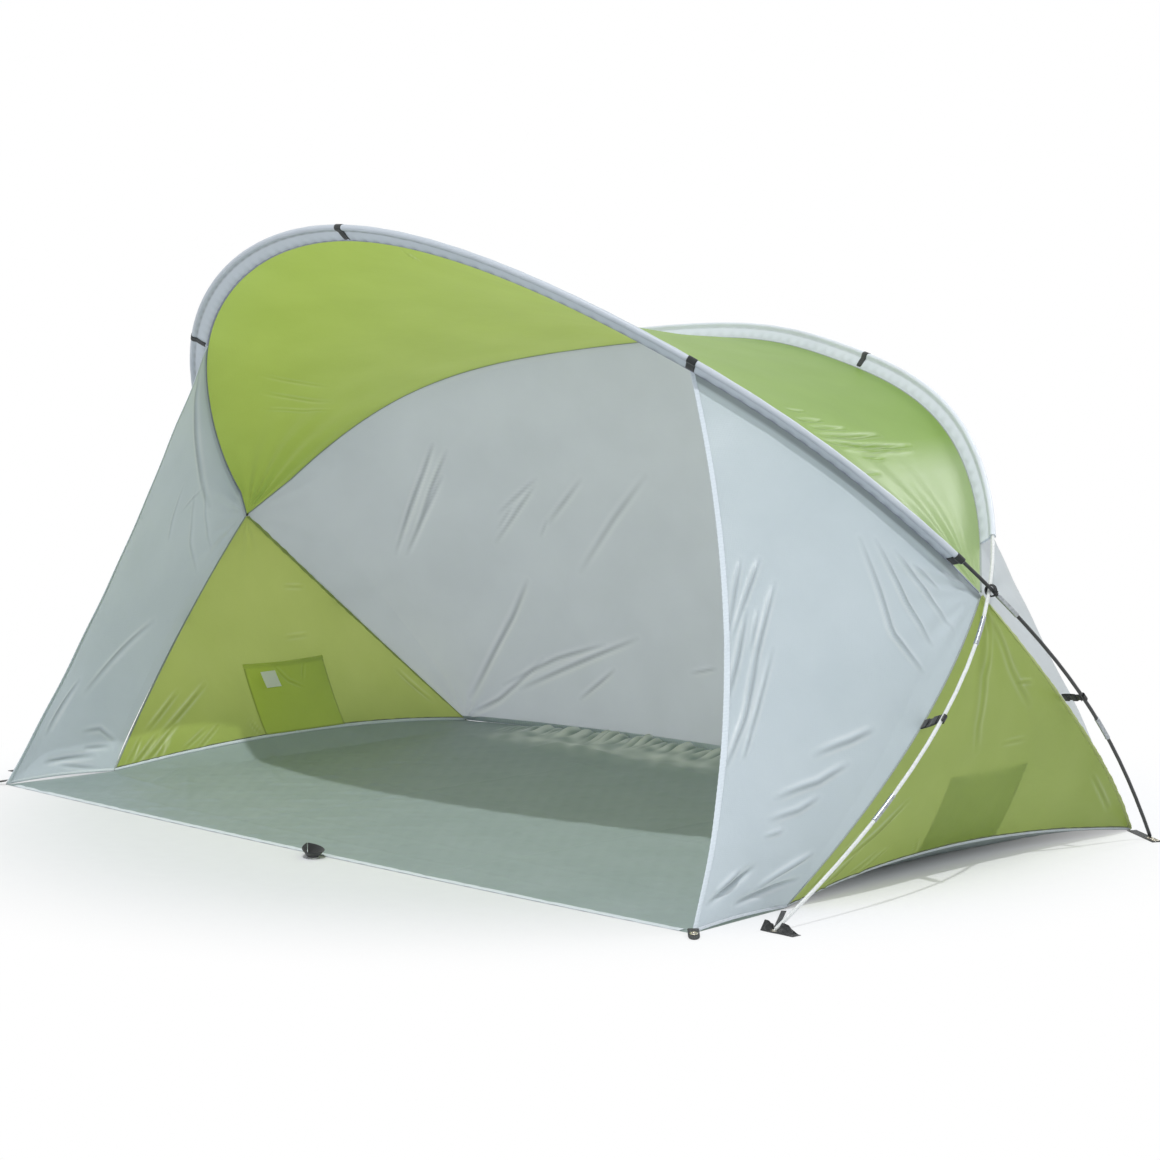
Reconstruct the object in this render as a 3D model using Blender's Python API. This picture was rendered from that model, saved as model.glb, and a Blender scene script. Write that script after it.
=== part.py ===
"""Beach tent on two crossing arch poles.

+X is the tent's right side, -Y its open front, +Z up. Lengths are in metres and the ground is z = 0.
The origin is the bottom centre of the whole tent's box. Shapes are laid out from the middle of the
line between the two front feet, and place() moves them to that origin.
"""

import math

import bpy
import numpy as np

# Arches. The front arch stands on the rear feet and the rear arch on the front feet.
HALF_WIDTH = 1.100
REAR_FOOT_Y = 1.096
FRONT_CROWN_Y = -0.010
FRONT_CROWN_Z = 1.167
REAR_CROWN_Y = 1.064
REAR_CROWN_Z = 0.947
CROSSING_HALF_WIDTH = 1.0765
CROSSING_Y = 0.5886
CROSSING_Z = 0.5224
CROSSING_CLEARANCE = 0.0006
# Shares of HALF_WIDTH, of the way back or forward from foot to crown, and of the crown's height.
FRONT_LEG_SHARES = ((0.954, 0.0, 0.0), (0.9855, 0.1946, 0.2242))
FRONT_TOP_SHARES = ((0.8155, 0.6973, 0.6827), (0.6058, 0.8477, 0.8318), (0.0, 1.0, 1.0))
REAR_LEG_SHARES = ((1.0, 0.0, 0.0), (1.0275, 0.3174, 0.2757))
REAR_TOP_SHARES = ((0.7525, 0.7553, 0.8290), (0.3364, 0.9191, 0.9679), (0.0, 1.0, 1.0))
SPLINE_POINTS = 3001

# Poles: sections joined by a sleeve of metal, the ferrule, bonded on one end of each.
POLE_RADIUS = 0.0035
FERRULE_RADIUS = 0.0043
BORE_CLEARANCE = 0.0003
END_CLEARANCE = 0.0005
FERRULE_LENGTH = 0.060
END_SECTION = 0.309
FRONT_LEG_SECTION = 0.384
REAR_LEG_SECTION = 0.399
FRONT_SECTIONS = 12
REAR_SECTIONS = 11
TIP_RADIUS = 0.0018
TIP_START = 0.0034
TIP_END = 0.0076
POLE_SIDES = 8
LEG_STEPS = 15
LEAST_STEP = 0.012

# Pole sleeves: a fold round the pole, sewn shut along the seam that the panels hang from.
FRONT_SLEEVE_START = 0.817
REAR_SLEEVE_START = 0.923
FRONT_SEAM_DEPTH = 0.034
REAR_SEAM_DEPTH = 0.030
REAR_SEAM_TILT = math.radians(17)
SLEEVE_RADIUS = 0.0078
SLEEVE_CLOTH = 0.0008
SLEEVE_ANGLES = tuple(math.radians(angle) for angle in (50, 102, 154, 206, 258, 310))
SLEEVE_INNER_SHARE = 0.72
WING_STEPS = 9
SLEEVE_STEPS = 40
WING_CORNER = 1.420
REAR_BAND = 1.643

# Cloth
CLOTH = 0.0008
SEAM_CLEARANCE = 0.0011
HEM_CLEARANCE = 0.0007
APEX_IN = 0.0165
APEX_FORWARD = 0.0086
APEX_DROP = 0.0074
APEX_CUT = 0.014
FRONT_CORNER_HALF_WIDTH = 1.013
FRONT_CORNER_Y = -0.103
SIDE_CORNER_HALF_WIDTH = 0.985
SIDE_CORNER_Y = 0.153
REAR_CORNER_HALF_WIDTH = 0.966
REAR_CORNER_Y = 1.140
FRONT_HEM_BOW = (0.0, -0.060, 0.0)
SIDE_HEM_BOW = (-0.132, 0.0, 0.132)
REAR_HEM_BOW = (0.0, 0.0, 0.088)
WING_EDGE_BOW = (0.151, 0.175, -0.084)
WING_HEM_BOW = (0.0, 0.0, 0.020)
SIDE_FRONT_BOW = (0.160, 0.092, 0.038)
SIDE_REAR_BOW = (0.080, 0.213, -0.144)
SIDE_BULGE = 0.016
ROOF_SAG_SHARE = 0.04
WING_FOLD = 0.012
WING_FOLD_WAVES = 1.5
ROOF_STEPS = 8
WALL_STEPS = 8
SIDE_STEPS = 10
WING_ROWS = 9
FLOOR_ROWS = 12
FLOOR_COLUMNS = 18
FLOOR_RISE_WIDTH = 0.075
FLOOR_REAR_RISE_WIDTH = 0.240
FLOOR_RISE_POWER = 1.5
FRONT_ROWS = 3

# Pockets inside the side panels. Each corner is a distance back from the front feet and a height.
POCKET_FRONT_Y = 0.537
POCKET_REAR_Y = 0.758
POCKET_LOW_Z = 0.038
POCKET_HIGH_Z = 0.186
POCKET_STAND = 0.016
POCKET_SWELL_POWER = 0.7
POCKET_CLEARANCE = 0.0016
POCKET_STEPS = 6
LABEL_FRONT_Y = 0.555
LABEL_HIGH_Z = 0.172
LABEL_WIDTH = 0.041
LABEL_HEIGHT = 0.037
LABEL_SLANT = 0.007
LABEL_CLOTH = 0.0006
LABEL_CLEARANCE = 0.0010

# Webbing, hooks and ties
WEBBING_WIDTH = 0.020
WEBBING = 0.0016
STRAP_CLEARANCE = 0.0006
STITCH_OUT = 0.0010
REAR_ARCH_HOOK = 0.514
FRONT_ARCH_HOOK = 0.406
HOOK_INNER = 0.0042
HOOK_OUTER = 0.0064
HOOK_LENGTH = 0.014
HOOK_ARM = 0.013
HOOK_ARM_HALF = 0.0017
HOOK_MOUTH = math.radians(50)
HOOK_ARC_STEPS = 5
TIE_HALF_WIDTH = 0.0120
TIE_HALF_HEIGHT = 0.0110
TIE_CORD = 0.00125
TIE_STEPS = 16
TIE_SIDES = 6
EYELET_RADIUS = 0.0048
HOLE_STEPS = 12
FRONT_TAB_OUT = 0.052
FRONT_TAB_IN = 0.024
REAR_TAB_OUT = 0.034
FRONT_TAB_GAP = 0.0225
REAR_TAB_GAP = 0.0050
CORNER_TAB_LENGTH = 0.052
CORNER_TAB_LIFT = 0.008
CORNER_TAB_HEADING = math.radians(-43)
CORNER_TAB_GAP = 0.0012
BAND_WIDTH = 0.015
BAND_CLOTH = 0.0006
BAND_CLEARANCE = 0.0004
BAND_REACH_SHARE = 0.62
BAND_HALF_TURN = math.radians(26)
PATCH_START = 0.002
TAPE_WIDTH = 0.020
TAPE_END = 0.030
TAPE_BACK = 0.001
LOOP_X = 0.012
LOOP_LENGTH = 0.062
LOOP_HALF_WIDTH = 0.0075
LOOP_END_GAP = 0.0012
LOOP_GAP = 0.0023
LOOP_CLOTH = 0.0014
LOOP_TURN = math.radians(-25)
LOOP_STEPS = 18
REST_CLEARANCE = 0.0003
SMOOTH_LIMIT = math.radians(40)
TINY_SHARE = 1e-9
EDGE_SHARE = 1e-6


def unit(vector):
    return vector / np.linalg.norm(vector, axis=-1, keepdims=True)


def spline(knots):
    """Points along a smooth cubic curve through the knots, even past the first and last but one."""
    at = np.concatenate([[0], np.cumsum(np.linalg.norm(np.diff(knots, axis=0), axis=1))])
    step = np.diff(at)
    slope = np.diff(knots, axis=0) / step[:, None]
    count = len(knots)
    system = np.eye(count)
    target = np.zeros_like(knots)
    for i in range(1, count - 1):
        system[i, i - 1] = step[i - 1]
        system[i, i] = 2 * (step[i - 1] + step[i])
        system[i, i + 1] = step[i]
        target[i] = 6 * (slope[i] - slope[i - 1])
    system[0, :3] = (step[1], -step[0] - step[1], step[0])
    system[-1, -3:] = (step[-1], -step[-1] - step[-2], step[-2])
    bend = np.linalg.solve(system, target)
    where = np.linspace(0, at[-1], SPLINE_POINTS)
    i = np.clip(np.searchsorted(at, where, side="right") - 1, 0, count - 2)
    t = (where - at[i])[:, None]
    h = step[i][:, None]
    rest = h - t
    cubic = (bend[i] * rest**3 + bend[i + 1] * t**3) / (6 * h)
    return cubic + (knots[i] / h - bend[i] * h / 6) * rest + (knots[i + 1] / h - bend[i + 1] * h / 6) * t


class Arch:
    """A pole's axis from its right foot over the crown to its left foot, near a plane that holds X."""

    def __init__(self, leg_shares, crossing_x, top_shares, foot_y, crown_y, crown_z):
        size = np.array([HALF_WIDTH, crown_y - foot_y, crown_z])
        foot = np.array([0, foot_y, 0])
        crossed = np.array([crossing_x, CROSSING_Y, CROSSING_Z])
        right = [*(foot + leg_shares * size), crossed, *(foot + top_shares * size)]
        left = [knot * MIRROR for knot in right[-2::-1]]
        self.points = spline(np.array(right + left))
        self.arc = np.concatenate([[0], np.cumsum(np.linalg.norm(np.diff(self.points, axis=0), axis=1))])
        self.tangents = unit(np.gradient(self.points, self.arc, axis=0))
        self.length = self.arc[-1]
        rise = unit(np.array([0, crown_y - foot_y, crown_z]))
        self.back = np.array([0, rise[2], -rise[1]])

    def tangent(self, s):
        return unit(np.array([np.interp(s, self.arc, column) for column in self.tangents.T]))

    def at(self, s):
        inside = min(max(s, 0), self.length)
        point = np.array([np.interp(inside, self.arc, column) for column in self.points.T])
        return point + (s - inside) * self.tangent(inside)

    def place(self, s, tilt, profile):
        """Profile points (depth towards the seam, distance towards the back) at one place on the arch."""
        along = self.tangent(s)
        inward = unit(np.cross(along, self.back))
        back = np.cross(inward, along)
        depth = math.cos(tilt) * inward + math.sin(tilt) * back
        side = math.cos(tilt) * back - math.sin(tilt) * inward
        return self.at(s) + np.outer(profile[:, 0], depth) + np.outer(profile[:, 1], side)


MIRROR = np.array([-1, 1, 1])
CROSSING_OFFSET = POLE_RADIUS + CROSSING_CLEARANCE
FRONT_ARCH = Arch(
    np.array(FRONT_LEG_SHARES),
    CROSSING_HALF_WIDTH + CROSSING_OFFSET,
    np.array(FRONT_TOP_SHARES),
    REAR_FOOT_Y,
    FRONT_CROWN_Y,
    FRONT_CROWN_Z,
)
REAR_ARCH = Arch(
    np.array(REAR_LEG_SHARES),
    CROSSING_HALF_WIDTH - CROSSING_OFFSET,
    np.array(REAR_TOP_SHARES),
    0,
    REAR_CROWN_Y,
    REAR_CROWN_Z,
)
APEX = np.array([CROSSING_HALF_WIDTH - APEX_IN, CROSSING_Y - APEX_FORWARD, CROSSING_Z - APEX_DROP])
FRONT_CORNER = np.array([FRONT_CORNER_HALF_WIDTH, FRONT_CORNER_Y, 0])
SIDE_CORNER = np.array([SIDE_CORNER_HALF_WIDTH, SIDE_CORNER_Y, 0])
REAR_CORNER = np.array([REAR_CORNER_HALF_WIDTH, REAR_CORNER_Y, 0])


def front_stations():
    """Places along the front sleeve: its ends, the wings' top corners and even steps between."""
    start = FRONT_SLEEVE_START
    end = FRONT_ARCH.length - start
    low = np.linspace(start, WING_CORNER, WING_STEPS + 1)
    middle = np.linspace(WING_CORNER, FRONT_ARCH.length - WING_CORNER, SLEEVE_STEPS - 2 * WING_STEPS + 1)
    high = np.linspace(FRONT_ARCH.length - WING_CORNER, end, WING_STEPS + 1)
    return np.concatenate([low, middle[1:-1], high])


def rear_stations():
    return np.linspace(REAR_SLEEVE_START, REAR_ARCH.length - REAR_SLEEVE_START, SLEEVE_STEPS + 1)


def pole_stations(arch, sleeve):
    """Where a pole's rings go: along its legs, at the crossings and along its sleeve."""
    half = len(arch.points) // 2
    crossed = np.interp(CROSSING_Z, arch.points[:half, 2], arch.arc[:half])
    above = np.linspace(crossed, sleeve[0], 3)[:-1]
    leg = np.concatenate([np.linspace(0, crossed, LEG_STEPS)[:-1], above])
    return np.concatenate([leg, sleeve, arch.length - leg[::-1]])


# Each piece's closed mesh, and where the origin of a piece that turns lies on its hinge.
PARTS = {}
PIVOTS = {}


def material(name, colour, roughness=0.6, metallic=0.0):
    made = bpy.data.materials.new(name)
    made.use_nodes = True
    shader = made.node_tree.nodes["Principled BSDF"]
    shader.inputs["Base Color"].default_value = (*colour, 1)
    shader.inputs["Roughness"].default_value = roughness
    shader.inputs["Metallic"].default_value = metallic
    return made


def add(name, points, faces, look, smooth=False):
    """Keeps a closed mesh under its node name, with its faces turned outwards."""
    points = np.array(points, float)
    volume = 0
    for face in faces:
        for i in range(1, len(face) - 1):
            volume += np.dot(points[face[0]], np.cross(points[face[i]], points[face[i + 1]]))
    if volume < 0:
        faces = [tuple(reversed(face)) for face in faces]
    PARTS[name] = (points, faces, look, smooth)


def place():
    """Makes the objects, with the bottom centre of their common box as the origin."""
    every = np.concatenate([points for points, _, _, _ in PARTS.values()])
    low = every.min(axis=0)
    high = every.max(axis=0)
    origin = np.array([(low[0] + high[0]) / 2, (low[1] + high[1]) / 2, 0])
    for name, (points, faces, look, smooth) in PARTS.items():
        pivot = PIVOTS.get(name, origin)
        mesh = bpy.data.meshes.new(name)
        mesh.from_pydata([tuple(point) for point in points - pivot], [], faces)
        mesh.materials.append(material(name, *look))
        if smooth:
            mesh.shade_smooth()
            mesh.set_sharp_from_angle(angle=SMOOTH_LIMIT)
        made = bpy.data.objects.new(name, mesh)
        made.location = pivot - origin
        bpy.context.scene.collection.objects.link(made)


def split(a, b, c, d):
    """A four-sided face as two triangles that share the edge from a to c."""
    return [(a, b, c), (a, c, d)]


def sheet(name, grid, thickness, look, mirrored=False):
    """A closed sheet of cloth whose middle surface runs through a grid of points."""
    grid = np.array(grid, float)
    if mirrored:
        grid = grid * MIRROR
    rows, columns = grid.shape[:2]
    normal = unit(np.cross(np.gradient(grid, axis=1), np.gradient(grid, axis=0)))
    upper = grid + normal * thickness / 2
    lower = grid - normal * thickness / 2
    points = np.concatenate([upper.reshape(-1, 3), lower.reshape(-1, 3)])
    back = rows * columns
    faces = []
    for r in range(rows - 1):
        for c in range(columns - 1):
            a = r * columns + c
            b = a + 1
            d = a + columns
            e = d + 1
            faces += split(a, b, e, d)
            faces += [(a + back, e + back, b + back), (a + back, d + back, e + back)]
    border = list(range(columns))
    border += [r * columns + columns - 1 for r in range(1, rows)]
    border += [(rows - 1) * columns + c for c in range(columns - 2, -1, -1)]
    border += [r * columns for r in range(rows - 2, 0, -1)]
    for p, q in zip(border, border[1:] + border[:1]):
        faces += split(q, p, p + back, q + back)
    add(name, points, faces, look)


def prism(name, outline, origin, across, up, along, length, look, mirrored=False):
    """A flat outline, in the plane of across and up, drawn out by length about its middle."""
    flat = origin + np.outer(outline[:, 0], across) + np.outer(outline[:, 1], up)
    points = np.concatenate([flat - along * length / 2, flat + along * length / 2])
    if mirrored:
        points = points * MIRROR
    count = len(outline)
    faces = [tuple(range(count)), tuple(reversed(range(count, 2 * count)))]
    for i in range(count):
        j = (i + 1) % count
        faces.append((j, i, i + count, j + count))
    add(name, points, faces, look)


def holed_plate(name, centre, arms, slope, look, mirrored=False):
    """Webbing round an eyelet at centre. Each arm is a heading, a reach and half a width, sloping down."""
    angles = {i * math.tau / HOLE_STEPS for i in range(HOLE_STEPS)}
    for heading, reach, half in arms:
        turn = math.atan2(half, reach)
        angles |= {(heading + turn) % math.tau, (heading - turn) % math.tau}
    outer = []
    inner = []
    for angle in sorted(angles):
        reaches = []
        for heading, reach, half in arms:
            ahead = math.cos(angle - heading)
            aside = abs(math.sin(angle - heading))
            end = reach if ahead > 0 else half
            reaches.append(min(end / max(abs(ahead), TINY_SHARE), half / max(aside, TINY_SHARE)))
        outer.append((max(reaches) * math.cos(angle), max(reaches) * math.sin(angle)))
        inner.append((EYELET_RADIUS * math.cos(angle), EYELET_RADIUS * math.sin(angle)))
    flat = np.array(outer + inner)
    heading = np.array([math.cos(arms[0][0]), math.sin(arms[0][0])])
    plan = centre + np.column_stack([flat, -slope * flat @ heading])
    points = np.concatenate([plan + np.array([0, 0, WEBBING]), plan])
    if mirrored:
        points = points * MIRROR
    count = len(outer)
    low = 2 * count
    faces = []
    for i in range(count):
        j = (i + 1) % count
        faces += split(i, j, j + count, i + count)
        faces.append((i + low, i + count + low, j + count + low))
        faces.append((i + low, j + count + low, j + low))
        faces += split(j, i, i + low, j + low)
        faces += split(i + count, j + count, j + count + low, i + count + low)
    add(name, points, faces, look)


def rod(name, arch, rings, look):
    """A closed pole piece through rings of (place along the arch, radius)."""
    turn = np.arange(POLE_SIDES) * math.tau / POLE_SIDES
    profile = np.column_stack([np.cos(turn), np.sin(turn)])
    points = np.concatenate([arch.place(s, 0, profile * radius) for s, radius in rings])
    faces = [tuple(range(POLE_SIDES))]
    for ring in range(len(rings) - 1):
        for i in range(POLE_SIDES):
            j = (i + 1) % POLE_SIDES
            low = ring * POLE_SIDES
            high = low + POLE_SIDES
            faces.append((low + j, low + i, high + i, high + j))
    last = (len(rings) - 1) * POLE_SIDES
    faces.append(tuple(reversed(range(last, last + POLE_SIDES))))
    add(name, points, faces, look, smooth=True)


def pole(prefix, arch, sleeve, sections, leg_section, look):
    """The pole's sections from the right foot to the left, each with a ferrule but the last."""
    middle = (arch.length - 2 * (END_SECTION + leg_section)) / (sections - 4)
    joints = [0, END_SECTION]
    joints += [END_SECTION + leg_section + i * middle for i in range(sections - 3)]
    joints += [arch.length - END_SECTION, arch.length]
    half = FERRULE_LENGTH / 2
    for number, (low, high) in enumerate(zip(joints[:-1], joints[1:])):
        first = number == 0
        last = number == sections - 1
        rings = []
        if first:
            rings += [(TIP_START, TIP_RADIUS), (TIP_END, TIP_RADIUS), (TIP_END, POLE_RADIUS)]
        else:
            rings += [(low + END_CLEARANCE, POLE_RADIUS), (low + half, POLE_RADIUS)]
        floor = rings[-1][0] + LEAST_STEP
        ceiling = (high - TIP_END if last else high - half) - LEAST_STEP
        rings += [(s, POLE_RADIUS) for s in pole_stations(arch, sleeve) if floor < s < ceiling]
        if last:
            rings += [(high - TIP_END, POLE_RADIUS), (high - TIP_END, TIP_RADIUS)]
            rings.append((high - TIP_START, TIP_RADIUS))
        else:
            bore = POLE_RADIUS + BORE_CLEARANCE
            rings += [(high - half, POLE_RADIUS), (high - half, FERRULE_RADIUS), (high, FERRULE_RADIUS)]
            rings += [(high + half, FERRULE_RADIUS), (high + half, bore), (high, bore)]
        rod(f"{prefix}_{number + 1:02d}", arch, rings, look)


def sleeve_profile(radius, depth, tail_share):
    """Six points round the pole and one at the seam."""
    arc = [(radius * math.cos(angle), radius * math.sin(angle)) for angle in SLEEVE_ANGLES]
    return np.array([(depth * tail_share, 0), *arc])


def pole_sleeve(name, arch, stations, depth, tilt, look):
    outer_profile = sleeve_profile(SLEEVE_RADIUS, depth, 1)
    outer = np.array([arch.place(s, tilt, outer_profile) for s in stations])
    inner_radius = SLEEVE_RADIUS - SLEEVE_CLOTH
    inner_profile = sleeve_profile(inner_radius, depth, SLEEVE_INNER_SHARE)
    inner = np.array([arch.place(s, tilt, inner_profile) for s in stations])
    rings, count = outer.shape[:2]
    back = rings * count
    faces = []
    for r in range(rings - 1):
        for i in range(count):
            j = (i + 1) % count
            a = r * count + i
            b = r * count + j
            d = a + count
            e = b + count
            faces += split(a, b, e, d)
            faces += [(a + back, e + back, b + back), (a + back, d + back, e + back)]
    for r, turned in ((0, False), (rings - 1, True)):
        for i in range(count):
            j = (i + 1) % count
            a = r * count + i
            b = r * count + j
            faces += split(a, b, b + back, a + back) if turned else split(b, a, a + back, b + back)
    add(name, np.concatenate([outer.reshape(-1, 3), inner.reshape(-1, 3)]), faces, look)


def sleeve_band(name, arch, stations, middle, depth, tilt, look, mirrored=False):
    """A strip wrapped over the sleeve's fold, open at the seam."""
    reach = depth * BAND_REACH_SHARE
    first = SLEEVE_ANGLES[0]
    start = np.array([SLEEVE_RADIUS * math.cos(first), SLEEVE_RADIUS * math.sin(first)])
    share = (reach - start[0]) / (depth - start[0])
    tail = np.array([reach, start[1] * (1 - share)])
    arc = sleeve_profile(SLEEVE_RADIUS, depth, 1)[1:]
    path = np.concatenate([[tail], arc, [tail * np.array([1, -1])]])
    flow = unit(np.gradient(path, axis=0))
    away = np.column_stack([flow[:, 1], -flow[:, 0]])
    away *= np.sign(np.sum(away * (path - np.array([depth / 4, 0])), axis=1))[:, None]
    path = path + away * (BAND_CLEARANCE + BAND_CLOTH / 2) / math.cos(BAND_HALF_TURN)
    rows = []
    for s in (middle - BAND_WIDTH / 2, middle, middle + BAND_WIDTH / 2):
        i = min(max(np.searchsorted(stations, s), 1), len(stations) - 1)
        share = (s - stations[i - 1]) / (stations[i] - stations[i - 1])
        low = arch.place(stations[i - 1], tilt, path)
        high = arch.place(stations[i], tilt, path)
        rows.append(low * (1 - share) + high * share)
    sheet(name, rows, BAND_CLOTH, look, mirrored)


def bowed(start, end, bow, count):
    share = np.linspace(0, 1, count + 1)[:, None]
    return start * (1 - share) + end * share + np.array(bow) * share * (1 - share)


def coons(low, high, left, right):
    """A grid between four edges: low and high run left to right, left and right run low to high."""
    u = np.linspace(0, 1, len(low))[None, :, None]
    v = np.linspace(0, 1, len(left))[:, None, None]
    ruled = (1 - v) * low[None] + v * high[None] + (1 - u) * left[:, None] + u * right[:, None]
    corners = (1 - u) * (1 - v) * low[0] + u * (1 - v) * low[-1] + (1 - u) * v * high[0] + u * v * high[-1]
    return ruled - corners


def inset(grid, left=0, right=0, low=0, high=0):
    """Draws the grid's edges in by a clearance each."""
    grid = grid.copy()
    grid[:, 0] += unit(grid[:, 1] - grid[:, 0]) * left
    grid[:, -1] += unit(grid[:, -2] - grid[:, -1]) * right
    grid[0] += unit(grid[1] - grid[0]) * low
    grid[-1] += unit(grid[-2] - grid[-1]) * high
    return grid


def seam(arch, s, depth, tilt):
    return arch.place(s, tilt, np.array([(depth, 0)]))[0]


def towards(start, end, distance):
    return start + unit(end - start) * distance


def seam_line(arch, stations, depth, tilt):
    """The seam from the right apex over the arch to the left apex, its ends cut short."""
    line = [seam(arch, s, depth, tilt) for s in stations]
    return np.array([towards(APEX, line[0], APEX_CUT), *line, towards(APEX * MIRROR, line[-1], APEX_CUT)])


def side_hem(count):
    return bowed(SIDE_CORNER, REAR_CORNER, SIDE_HEM_BOW, count)


def hem_lift():
    return np.array([0, 0, CLOTH + HEM_CLEARANCE])


def side_edges(steps):
    """The side panel's front and rear seams, from the hem up to the cut apex."""
    front = bowed(APEX, SIDE_CORNER + hem_lift(), SIDE_FRONT_BOW, steps)[::-1]
    rear = bowed(APEX, REAR_CORNER + hem_lift(), SIDE_REAR_BOW, steps)[::-1]
    front[-1] = towards(APEX, front[-2], APEX_CUT)
    rear[-1] = towards(APEX, rear[-2], APEX_CUT)
    return front, rear


def side_panel_grid():
    front, rear = side_edges(SIDE_STEPS)
    top = bowed(front[-1], rear[-1], (0, 0, 0), SIDE_STEPS)
    grid = coons(side_hem(SIDE_STEPS) + hem_lift(), top, front, rear)
    u = np.linspace(0, 1, SIDE_STEPS + 1)[None, :]
    v = np.linspace(0, 1, SIDE_STEPS + 1)[:, None]
    grid[..., 0] += SIDE_BULGE * 4 * u * (1 - u) * np.sin(math.pi * v)
    return inset(grid, left=SEAM_CLEARANCE, right=SEAM_CLEARANCE)


def on_grid(grid, y, z):
    """The place on a grid of cloth with this Y and Z, by the triangle that holds it."""
    rows, columns = grid.shape[:2]
    for r in range(rows - 1):
        for c in range(columns - 1):
            a, b, d, e = grid[r, c], grid[r, c + 1], grid[r + 1, c], grid[r + 1, c + 1]
            for p, q, s in ((a, b, e), (a, e, d)):
                system = np.array([q[1:] - p[1:], s[1:] - p[1:]]).T
                share = np.linalg.solve(system, np.array([y, z]) - p[1:])
                if share.min() >= -EDGE_SHARE and share.sum() <= 1 + EDGE_SHARE:
                    return p + share[0] * (q - p) + share[1] * (s - p)
    raise ValueError("outside the cloth")


def pocket_grid(side):
    """The pocket's cloth: it lies on the side panel at three edges and stands off it at its mouth."""
    rows = []
    for v in np.linspace(0, 1, POCKET_STEPS + 1):
        row = []
        for u in np.linspace(0, 1, POCKET_STEPS + 1):
            y = POCKET_FRONT_Y + u * (POCKET_REAR_Y - POCKET_FRONT_Y)
            z = POCKET_LOW_Z + v * (POCKET_HIGH_Z - POCKET_LOW_Z)
            point = on_grid(side, y, z)
            stand = POCKET_STAND * math.sin(math.pi * u) ** POCKET_SWELL_POWER * math.sin(math.pi * v / 2)
            point[0] -= POCKET_CLEARANCE + stand
            row.append(point)
        rows.append(row)
    return np.array(rows)


def label_grid(pocket):
    """The care label, hanging from the pocket's mouth."""
    rows = []
    for v in (0, 0.5, 1):
        row = []
        for u in (0, 0.5, 1):
            y = LABEL_FRONT_Y + LABEL_WIDTH * u + LABEL_SLANT * v
            z = LABEL_HIGH_Z - LABEL_HEIGHT * v
            row.append(on_grid(pocket, y, z))
        rows.append(row)
    grid = np.array(rows)
    grid[..., 0] = grid[..., 0].min() - LABEL_CLEARANCE
    return grid


def strap(prefix, arch, hook_at, edge, mirrored):
    """A webbing strap from the side seam to a hook on the pole, and the hook."""
    side = "left" if mirrored else "right"
    pole_point = arch.at(hook_at)
    stitch = edge[np.argmin(np.linalg.norm(edge - pole_point, axis=1))]
    along = arch.tangent(hook_at)
    out = pole_point - stitch
    out = unit(out - along * np.dot(out, along))
    swing = np.cross(along, out)
    start = stitch + out * STITCH_OUT
    reach = np.dot(pole_point - start, out)
    origin = pole_point - out * reach
    length = reach - HOOK_ARM - STRAP_CLEARANCE
    rows = []
    for v in (-0.5, 0.5):
        rows.append([origin + out * length * u + along * WEBBING_WIDTH * v for u in (0, 0.5, 1)])
    sheet(f"{prefix}_strap_{side}", rows, WEBBING, BLACK, mirrored)
    arm = math.asin(HOOK_ARM_HALF / HOOK_OUTER)
    outer = np.linspace(math.pi / 2 + HOOK_MOUTH, math.pi - arm, 2)
    rest = np.linspace(math.pi + arm, math.tau + math.pi / 2 - HOOK_MOUTH, 2 * HOOK_ARC_STEPS)
    mouth = math.pi / 2 + HOOK_MOUTH
    inner = np.linspace(math.tau + math.pi / 2 - HOOK_MOUTH, mouth, 2 * HOOK_ARC_STEPS + 1)
    outline = [(HOOK_OUTER * math.cos(angle), HOOK_OUTER * math.sin(angle)) for angle in outer]
    outline += [(-HOOK_ARM, HOOK_ARM_HALF), (-HOOK_ARM, -HOOK_ARM_HALF)]
    outline += [(HOOK_OUTER * math.cos(angle), HOOK_OUTER * math.sin(angle)) for angle in rest]
    outline += [(HOOK_INNER * math.cos(angle), HOOK_INNER * math.sin(angle)) for angle in inner]
    hook = f"{prefix}_hook_{side}"
    prism(hook, np.array(outline), pole_point, out, -swing, along, HOOK_LENGTH, PLASTIC, mirrored)
    PIVOTS[hook] = PIVOTS[f"{prefix}_strap_{side}"] = start * MIRROR if mirrored else start


def ring(name, centre, half_width, half_height, radius, look, mirrored=False):
    """A cord tied round both poles, in the plane of X and Z."""
    points = []
    for i in range(TIE_STEPS):
        angle = i * math.tau / TIE_STEPS
        out = unit(np.array([math.cos(angle) / half_width, 0, math.sin(angle) / half_height]))
        middle = centre + np.array([half_width * math.cos(angle), 0, half_height * math.sin(angle)])
        for k in range(TIE_SIDES):
            turn = k * math.tau / TIE_SIDES
            points.append(middle + radius * (out * math.cos(turn) + np.array([0, math.sin(turn), 0])))
    points = np.array(points)
    if mirrored:
        points = points * MIRROR
    faces = []
    for i in range(TIE_STEPS):
        for k in range(TIE_SIDES):
            a = i * TIE_SIDES + k
            b = i * TIE_SIDES + (k + 1) % TIE_SIDES
            d = (i + 1) % TIE_STEPS * TIE_SIDES + k
            e = (i + 1) % TIE_STEPS * TIE_SIDES + (k + 1) % TIE_SIDES
            faces.append((a, b, e, d))
    add(name, points, faces, look, smooth=True)


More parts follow.
